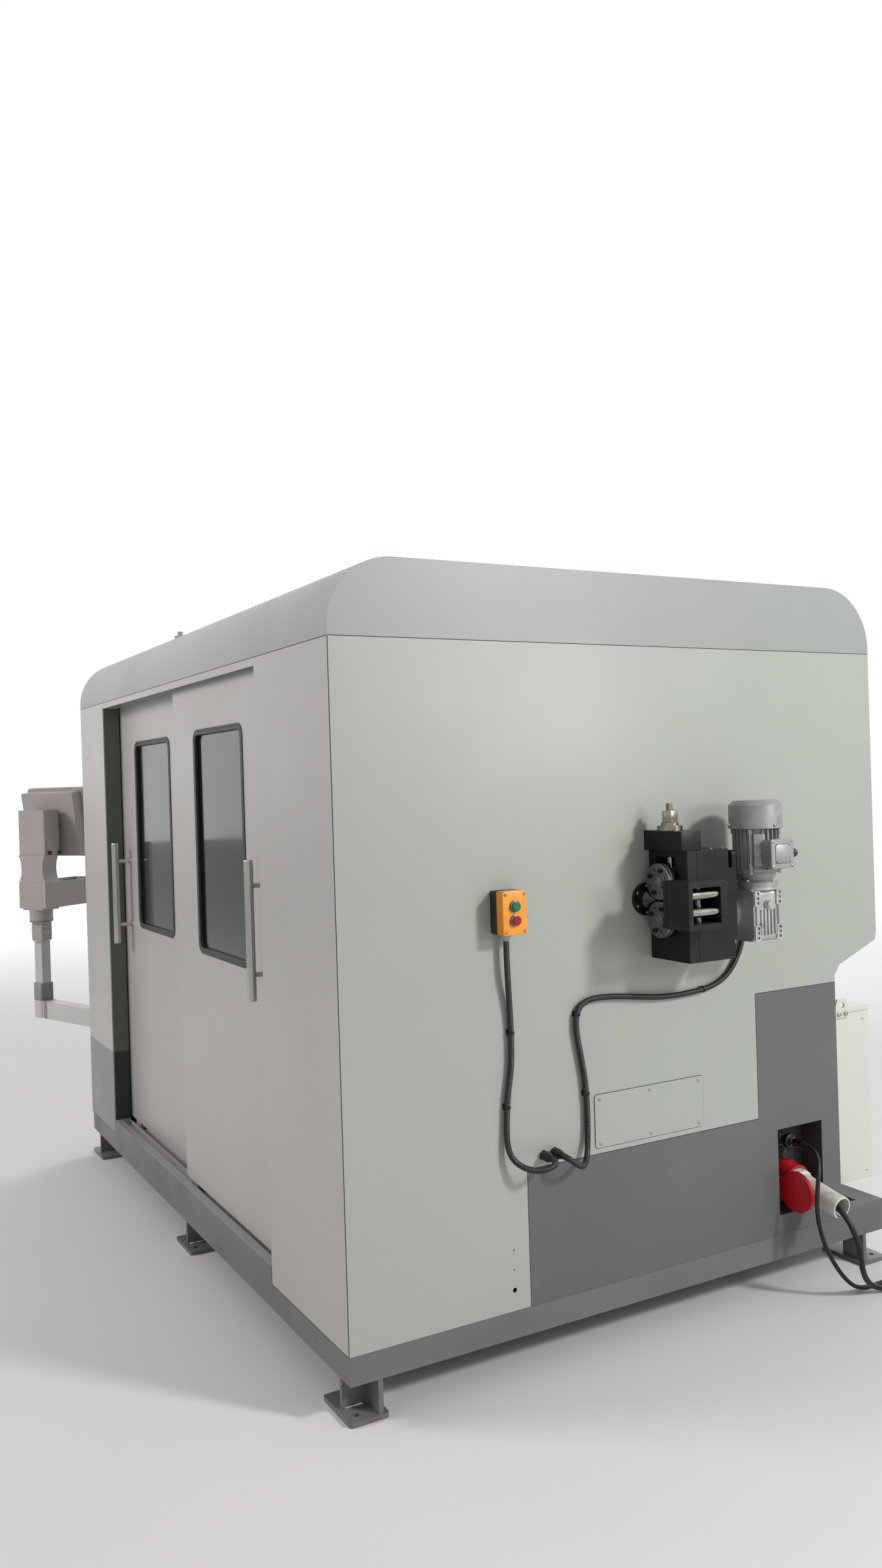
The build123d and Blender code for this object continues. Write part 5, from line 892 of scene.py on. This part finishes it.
for run, link in ((box_run, 4), (box_run, 7), (motor_run, 7), (motor_run, 11), (motor_run, 19)):
    start, end = Vector(run[link]), Vector(run[link + 1])
    middle, along = (start + end) / 2, Vector((0, end[1] - start[1], end[2] - start[2]))
    along.normalize()
    straps.append(turned(middle - along * 2.4, along, [(0, 8), (0.2, 9), (4.6, 9), (4.8, 8)], 28))
    straps.append(slab(middle + Vector((7.6, -2.4, -3)), middle + Vector((12, 2.4, 3)), 0.8))
    straps.append(eased(rounded((end_face, middle.y, middle.z), 17, 15, 2, 3, end_way), 0.6))
fasten("tie_straps", gland_black, joined(straps))


# Conduits: black corrugated sleeves of nylon round the cables, held flat on the panel by the
# ties. One corrugation is made once and repeated along the route.
conduit_black = coat("conduit_black", (25, 25, 26), 0.42, drift=0.1, patch=12, uneven=0.08,
                     grain=0.15, pitch=700, stain=((48, 47, 45), 0.2, 9))
for name, run in (("box_conduit", box_run), ("motor_conduit", motor_run)):
    route = cable_line(f"{name}_route", run, 0, conduit_black)
    wave = turned((0, 0, 0), end_way, [(0, 6.9), (1, 6.9), (1.5, 7.5), (3.1, 7.5), (3.6, 6.9)], 16,
                  "NOTHING")
    wave.name = name
    repeat = wave.modifiers.new("repeat", "ARRAY")
    repeat.fit_type = "FIT_CURVE"
    repeat.curve = route
    repeat.use_merge_vertices = True
    repeat.merge_threshold = 0.0003
    follow = wave.modifiers.new("follow", "CURVE")
    follow.object = route
    take(wave)
    for step in ("repeat", "follow"):
        bpy.ops.object.modifier_apply(modifier=step)
    bpy.data.objects.remove(route)
    open_mesh()
    bpy.ops.mesh.fill_holes(sides=0)
    bpy.ops.object.mode_set(mode="OBJECT")
    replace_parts(fasten(name, conduit_black, wave, 50), "conduits")


# Supply recess: a folded pan let into the dark panel. It holds a nickel plated control
# connector with a knurled black ring on a rubber strap, and a red supply socket whose round
# lid stands open beside the white plug.
# Painted shade: the pan's dark grey stands for the shade inside the recess and is darker than its
# lit back looks, with paler patches over it.
recess_painted_shade = coat("recess_painted_shade", (50, 51, 52), 0.6, patch=5, uneven=0.08, pitch=420,
                   stain=((84, 82, 78), 0.2, 12))
dress(recess_painted_shade, "recess_box")
inlet_y, inlet_z, socket_y, socket_z = 552, 392, 548, 284
seat = eased(rounded((1160, inlet_y, inlet_z), 34, 34, 4, 4, end_way), 0.6)
body = turned((1164, inlet_y, inlet_z), end_way, [(0, 15), (13, 15), (13, 13), (28, 13)], 40)
coupling = eased(turned((1192, inlet_y, inlet_z), end_way, [(0, 14.2), (11, 14.2)], 6), 1.4)
gland_nut = ribbed(turned((1203, inlet_y, inlet_z), end_way,
                          [(0, 12), (12, 12), (15, 10.2), (34, 9.8)], 24), end_way, 0.6)
control_inlet = fasten("control_inlet", nickel,
                       joined([seat, body, coupling, gland_nut]))
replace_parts(control_inlet, "control_connector")
fasten("inlet_ring", gland_black, ribbed(turned(
    (1177, inlet_y, inlet_z), end_way, [(0, 19), (1, 20.3), (14, 20.3), (15, 19), (15, 14)], 44),
    end_way, 0.8))
fasten("inlet_corner_screws", steel_screw, placed(
    pan_head(2.6, 1.8), crossings(
        1164, (inlet_y - 13, inlet_y + 13), (inlet_z - 13, inlet_z + 13))))
strap = slab((1182, 545.5, 338), (1184.4, 558.5, 373), 1)
collar = turned((1181.6, inlet_y, 371), end_way, [(0, 9), (0.4, 9.6), (2.8, 9.6), (3.2, 9)], 28)
fasten("inlet_strap", rubber, joined([strap, collar]))

socket_red = coat("socket_red", (184, 26, 38), 0.3, drift=0.06, uneven=0.08, grain=0.15,
                  pitch=600, stain=((140, 20, 30), 0.3, 18))
dress(socket_red, "power_socket", "socket_lid")
fasten("socket_screws", steel_screw, placed(
    pan_head(4, 2.4), crossings(
        1166, (socket_y - 35, socket_y + 35), (socket_z - 35, socket_z + 35))))
lid_middle, lid_way = (1261.9, 498.1, 276.6), (0.1200, -0.9926, -0.0212)
settle("lid_rim", socket_red, "lid", ribbed(turned(
    lid_middle, lid_way, [(-5, 54), (-5, 56.2), (2, 56.2), (3, 55)], 72), lid_way, 0.8, 3))


# Transformer case: a separate folded sheet case on the rear rail, painted cream, with an
# overlapping lid, a bolted lifting lug, rows of pressed louvres and screws at the corners.
case_cream = coat("case_cream", (203, 205, 193), 0.36, drift=0.02, patch=1.6, grain=0.16,
                  pitch=380, wave=0.05, stain=((198, 194, 172), 0.2, 5))
dress(case_cream, "transformer_case")
screws("case_screws", pan_head(4, 2.4), crossings(1085, (722, 975), (206, 676)))
screws("lug_bolts", eased(turned((0, 0, -0.5), top_way, [(0, 8), (6, 8)], 6), 0.8),
       crossings(1092.5, (866, 894), (703,)))
fasten("case_lid_gap", gap_black, joined([
    slab((584.6, 697.5, 700.8), (1085.4, 1000.35, 702.1)),
    slab((584.6, 696.8, 700.8), (1085.4, 697.6, 702.1))]))
fasten("case_louvres", case_cream, placed(louvre(120), [
    ((x, 1000, z), back_way) for x in (705, 965) for z in range(270, 420, 22)]))


# Pendant: a swinging arm of square tube with a cast elbow and clamp collars, and on it a
# control box with a tray, a rear box and a display that tilts. All is sprayed a warm grey.
arm_paint = coat("arm_paint", (182, 182, 180), 0.38, drift=0.03, patch=5, uneven=0.07,
                 grain=0.18, pitch=420)
collar_grey = coat("collar_grey", (128, 129, 128), 0.42, patch=9, uneven=0.08, grain=0.25,
                   pitch=500)
pendant_grey = coat("pendant_grey", (160, 154, 151), 0.38, drift=0.025, patch=4, uneven=0.07,
                    grain=0.18, pitch=420)
dress(arm_paint, "arm_bracket", "pendant_arm")
dress(pendant_grey, "pendant_box", "display_unit")
dress(cap_red, "estop_button")
head_turn, tilt_back = radians(34.8), radians(9)
head_x = Vector((cos(head_turn), sin(head_turn), 0))
head_y = Vector((-head_x.y, head_x.x, 0))
mast = Vector((-1800, -942, 0))


def at_head(x, y, z):
    """A point of the control box: x to its right-hand side, y towards the operator."""
    return mast + head_x * x + head_y * y + Vector((0, 0, z))


arm_start, arm_way = Vector((-1295, -755, 0)), Vector((-505, -187, 0)).normalized()
arm_side = Vector((-arm_way.y, arm_way.x, 0))


def on_arm(piece, reach, z):
    """Sets a piece that was made round the origin on the arm's line."""
    spot = arm_start + arm_way * reach + Vector((0, 0, z))
    return stood(piece, spot, arm_way, arm_side, Vector(top_way))


settle("mast_collar", collar_grey, "arm", on_arm(
    eased(rounded((0, 0, 0), 66, 62, 8, 76.4, top_way), 1.4), 538.5, 542))
settle("elbow_collar", collar_grey, "arm", on_arm(
    eased(rounded((0, 0, 0), 51.6, 77.6, 3, 26, end_way), 1.2), 474, 504))
settle("arm_end_collar", collar_grey, "arm", on_arm(
    eased(rounded((0, 0, 0), 51.6, 77.6, 3, 18, end_way), 1.2), 34, 504))
bolt = eased(turned((0, 0, -0.5), top_way, [(0, 7), (5.4, 7)], 6), 0.7)
screws("bracket_bolts", bolt, crossings(-1248, (-789, -721), (443, 565), inward_way))
fasten("pivot_caps", collar_grey, joined([
    turned((-1295, -755, 556.3), top_way, [(0, 15), (3, 15), (5, 13), (5, 8), (4, 7)], 32),
    turned((-1295, -755, 451.7), down_way, [(0, 15), (3, 15), (5, 13)], 32)]))
settle("collar_screws", black_oxide, "arm", placed(
    socket_head(3.2, 1.4), [(arm_start + arm_way * 538.5 + arm_side * -30.8 + Vector((0, 0, z)) +
                             arm_way * x, arm_side * -1) for x in (-20, 20)
                            for z in (560, 600)]))
settle("sleeve_screws", black_oxide, "pendant", placed(
    socket_head(2.6, 0.8), [(at_head(31, y, z), head_x) for y in (-13, 13)
                            for z in (826, 856)]))
settle("drum_seam", gap_black, "pendant", turned(
    at_head(0, 0, 892), top_way, [(0, 49), (0, 50.35), (1.8, 50.35), (1.8, 49)], 64))
seam = rounded((0, 0, 0), 153.5, 90.5, 6, 1.6, top_way)
seam.matrix_world = Matrix.Translation(at_head(0, 0, 1183.2) / 1000) @ Matrix.Rotation(
    head_turn, 4, "Z")
settle("neck_seam", gap_black, "pendant", seam)
knobs = []
for y in (-20, 38):
    knobs.append(ribbed(turned(at_head(76.3, y, 1193), head_x,
                               [(0, 4), (3, 4), (3, 7.5), (11, 7.5), (12.4, 6.2), (12.8, 3)],
                               20), head_x, 0.9))
settle("lock_knobs", gland_black, "pendant", joined(knobs))
settle("estop_plate", coat("estop_yellow", (226, 178, 34), 0.4, patch=20, uneven=0.08,
                           pitch=700),
       "pendant", turned(at_head(0, 299.6, 1004), head_y,
                                          [(0, 31), (1.6, 31), (2, 30.4), (2, 22.3)], 48))

# Display: its housing's back carries two small screws, and a dark glass screen lies sunk in
# the front frame. The display tilts with the housing.
display_back = at_head(0, 62, 1283)
screen_way = head_y * cos(tilt_back) + Vector((0, 0, sin(tilt_back)))
screen_up = screen_way.cross(head_x) * -1
screen_glass = coat("screen_glass", (20, 22, 25), 0.08, drift=0.08, patch=6, uneven=0.03,
                    grain=0.03, pitch=60)
pane = eased(rounded((0, 0, 0), 269, 209, 2, 2.4, top_way), 0.5)
stood(pane, display_back + screen_way * 90 - screen_up * 22, -head_x, screen_up, screen_way)
settle("display_screen", screen_glass, "display", pane)
screws("display_back_screws", pan_head(3, 1.6), [
    (display_back + screen_way * 15 + head_x * x + screen_up * 68, -screen_way)
    for x in (-112, 106)], "display")


# The studio: a wide pale floor that fades to white far off, a soft key light high on the
# right with a faint glow on the end wall, weaker lights from the front and the rear, and an
# even sky. What the camera and the reflections see of the sky is white.
bpy.ops.mesh.primitive_plane_add(size=60)
floor = bpy.context.object
floor.name = "floor"
floor_paint = coat("floor_paint", (214, 214, 212), 0.75, drift=0.01, patch=0.6, uneven=0.05,
                   grain=0.05, pitch=60)
floor.data.materials.append(floor_paint)
nodes, links = floor_paint.node_tree.nodes, floor_paint.node_tree.links
far, reach, fade, eye, white, mix = (nodes.new("ShaderNode" + kind) for kind in (
    "TexCoord", "VectorMath", "MapRange", "LightPath", "Emission", "MixShader"))
reach.operation, fade.interpolation_type = "LENGTH", "SMOOTHSTEP"
fade.inputs["From Min"].default_value, fade.inputs["From Max"].default_value = 3.2, 9.0
links.new(far.outputs["Object"], reach.inputs[0])
links.new(reach.outputs["Value"], fade.inputs["Value"])
links.new(eye.outputs["Is Camera Ray"], fade.inputs["To Max"])
links.new(fade.outputs["Result"], mix.inputs["Fac"])
links.new(nodes["Principled BSDF"].outputs["BSDF"], mix.inputs[1])
links.new(white.outputs["Emission"], mix.inputs[2])
links.new(mix.outputs["Shader"], nodes["Material Output"].inputs["Surface"])

sky = bpy.data.worlds.new("studio_sky")
bpy.context.scene.world = sky
sky.use_nodes = True
nodes, links = sky.node_tree.nodes, sky.node_tree.links
ray, seen, seen_too = (nodes.new(kind) for kind in (
    "ShaderNodeLightPath", "ShaderNodeMath", "ShaderNodeMath"))
seen.operation = seen_too.operation = "MAXIMUM"
links.new(ray.outputs["Is Camera Ray"], seen.inputs[0])
links.new(ray.outputs["Is Glossy Ray"], seen.inputs[1])
links.new(seen.outputs[0], seen_too.inputs[0])
links.new(ray.outputs["Is Transmission Ray"], seen_too.inputs[1])
tint = nodes.new("ShaderNodeMix")
tint.data_type = "RGBA"
tint.inputs[6].default_value = (0.42, 0.43, 0.44, 1)
tint.inputs[7].default_value = (1, 1, 1, 1)
links.new(seen_too.outputs[0], tint.inputs[0])
links.new(tint.outputs[2], nodes["Background"].inputs["Color"])


def soft_light(name, spot, aim, size, power, tone=(1, 1, 1)):
    """A round area light at a spot in metres, turned to its aim."""
    lamp = bpy.data.lights.new(name, "AREA")
    lamp.color = tone
    lamp.shape = "DISK"
    lamp.size = size
    lamp.energy = power
    holder = bpy.data.objects.new(name, lamp)
    holder.location = spot
    holder.rotation_euler = (Vector(aim) - Vector(spot)).to_track_quat("-Z", "Y").to_euler()
    bpy.context.collection.objects.link(holder)


soft_light("key_light", (6.2, 3.0, 4.4), (1.24, 0.0, 1.1), 0.9, 290)
soft_light("glow_light", (4.2, 1.5, 1.85), (1.24, -0.4, 1.6), 1.0, 20)
soft_light("front_light", (-2.0, -6.2, 4.4), (0.0, -0.8, 1.1), 2.6, 225, (1, 0.945, 0.93))
soft_light("rear_light", (-5.0, 5.0, 4.6), (-0.6, 0.4, 1.0), 3.0, 230)

bpy.context.scene.view_settings.view_transform = "Standard"
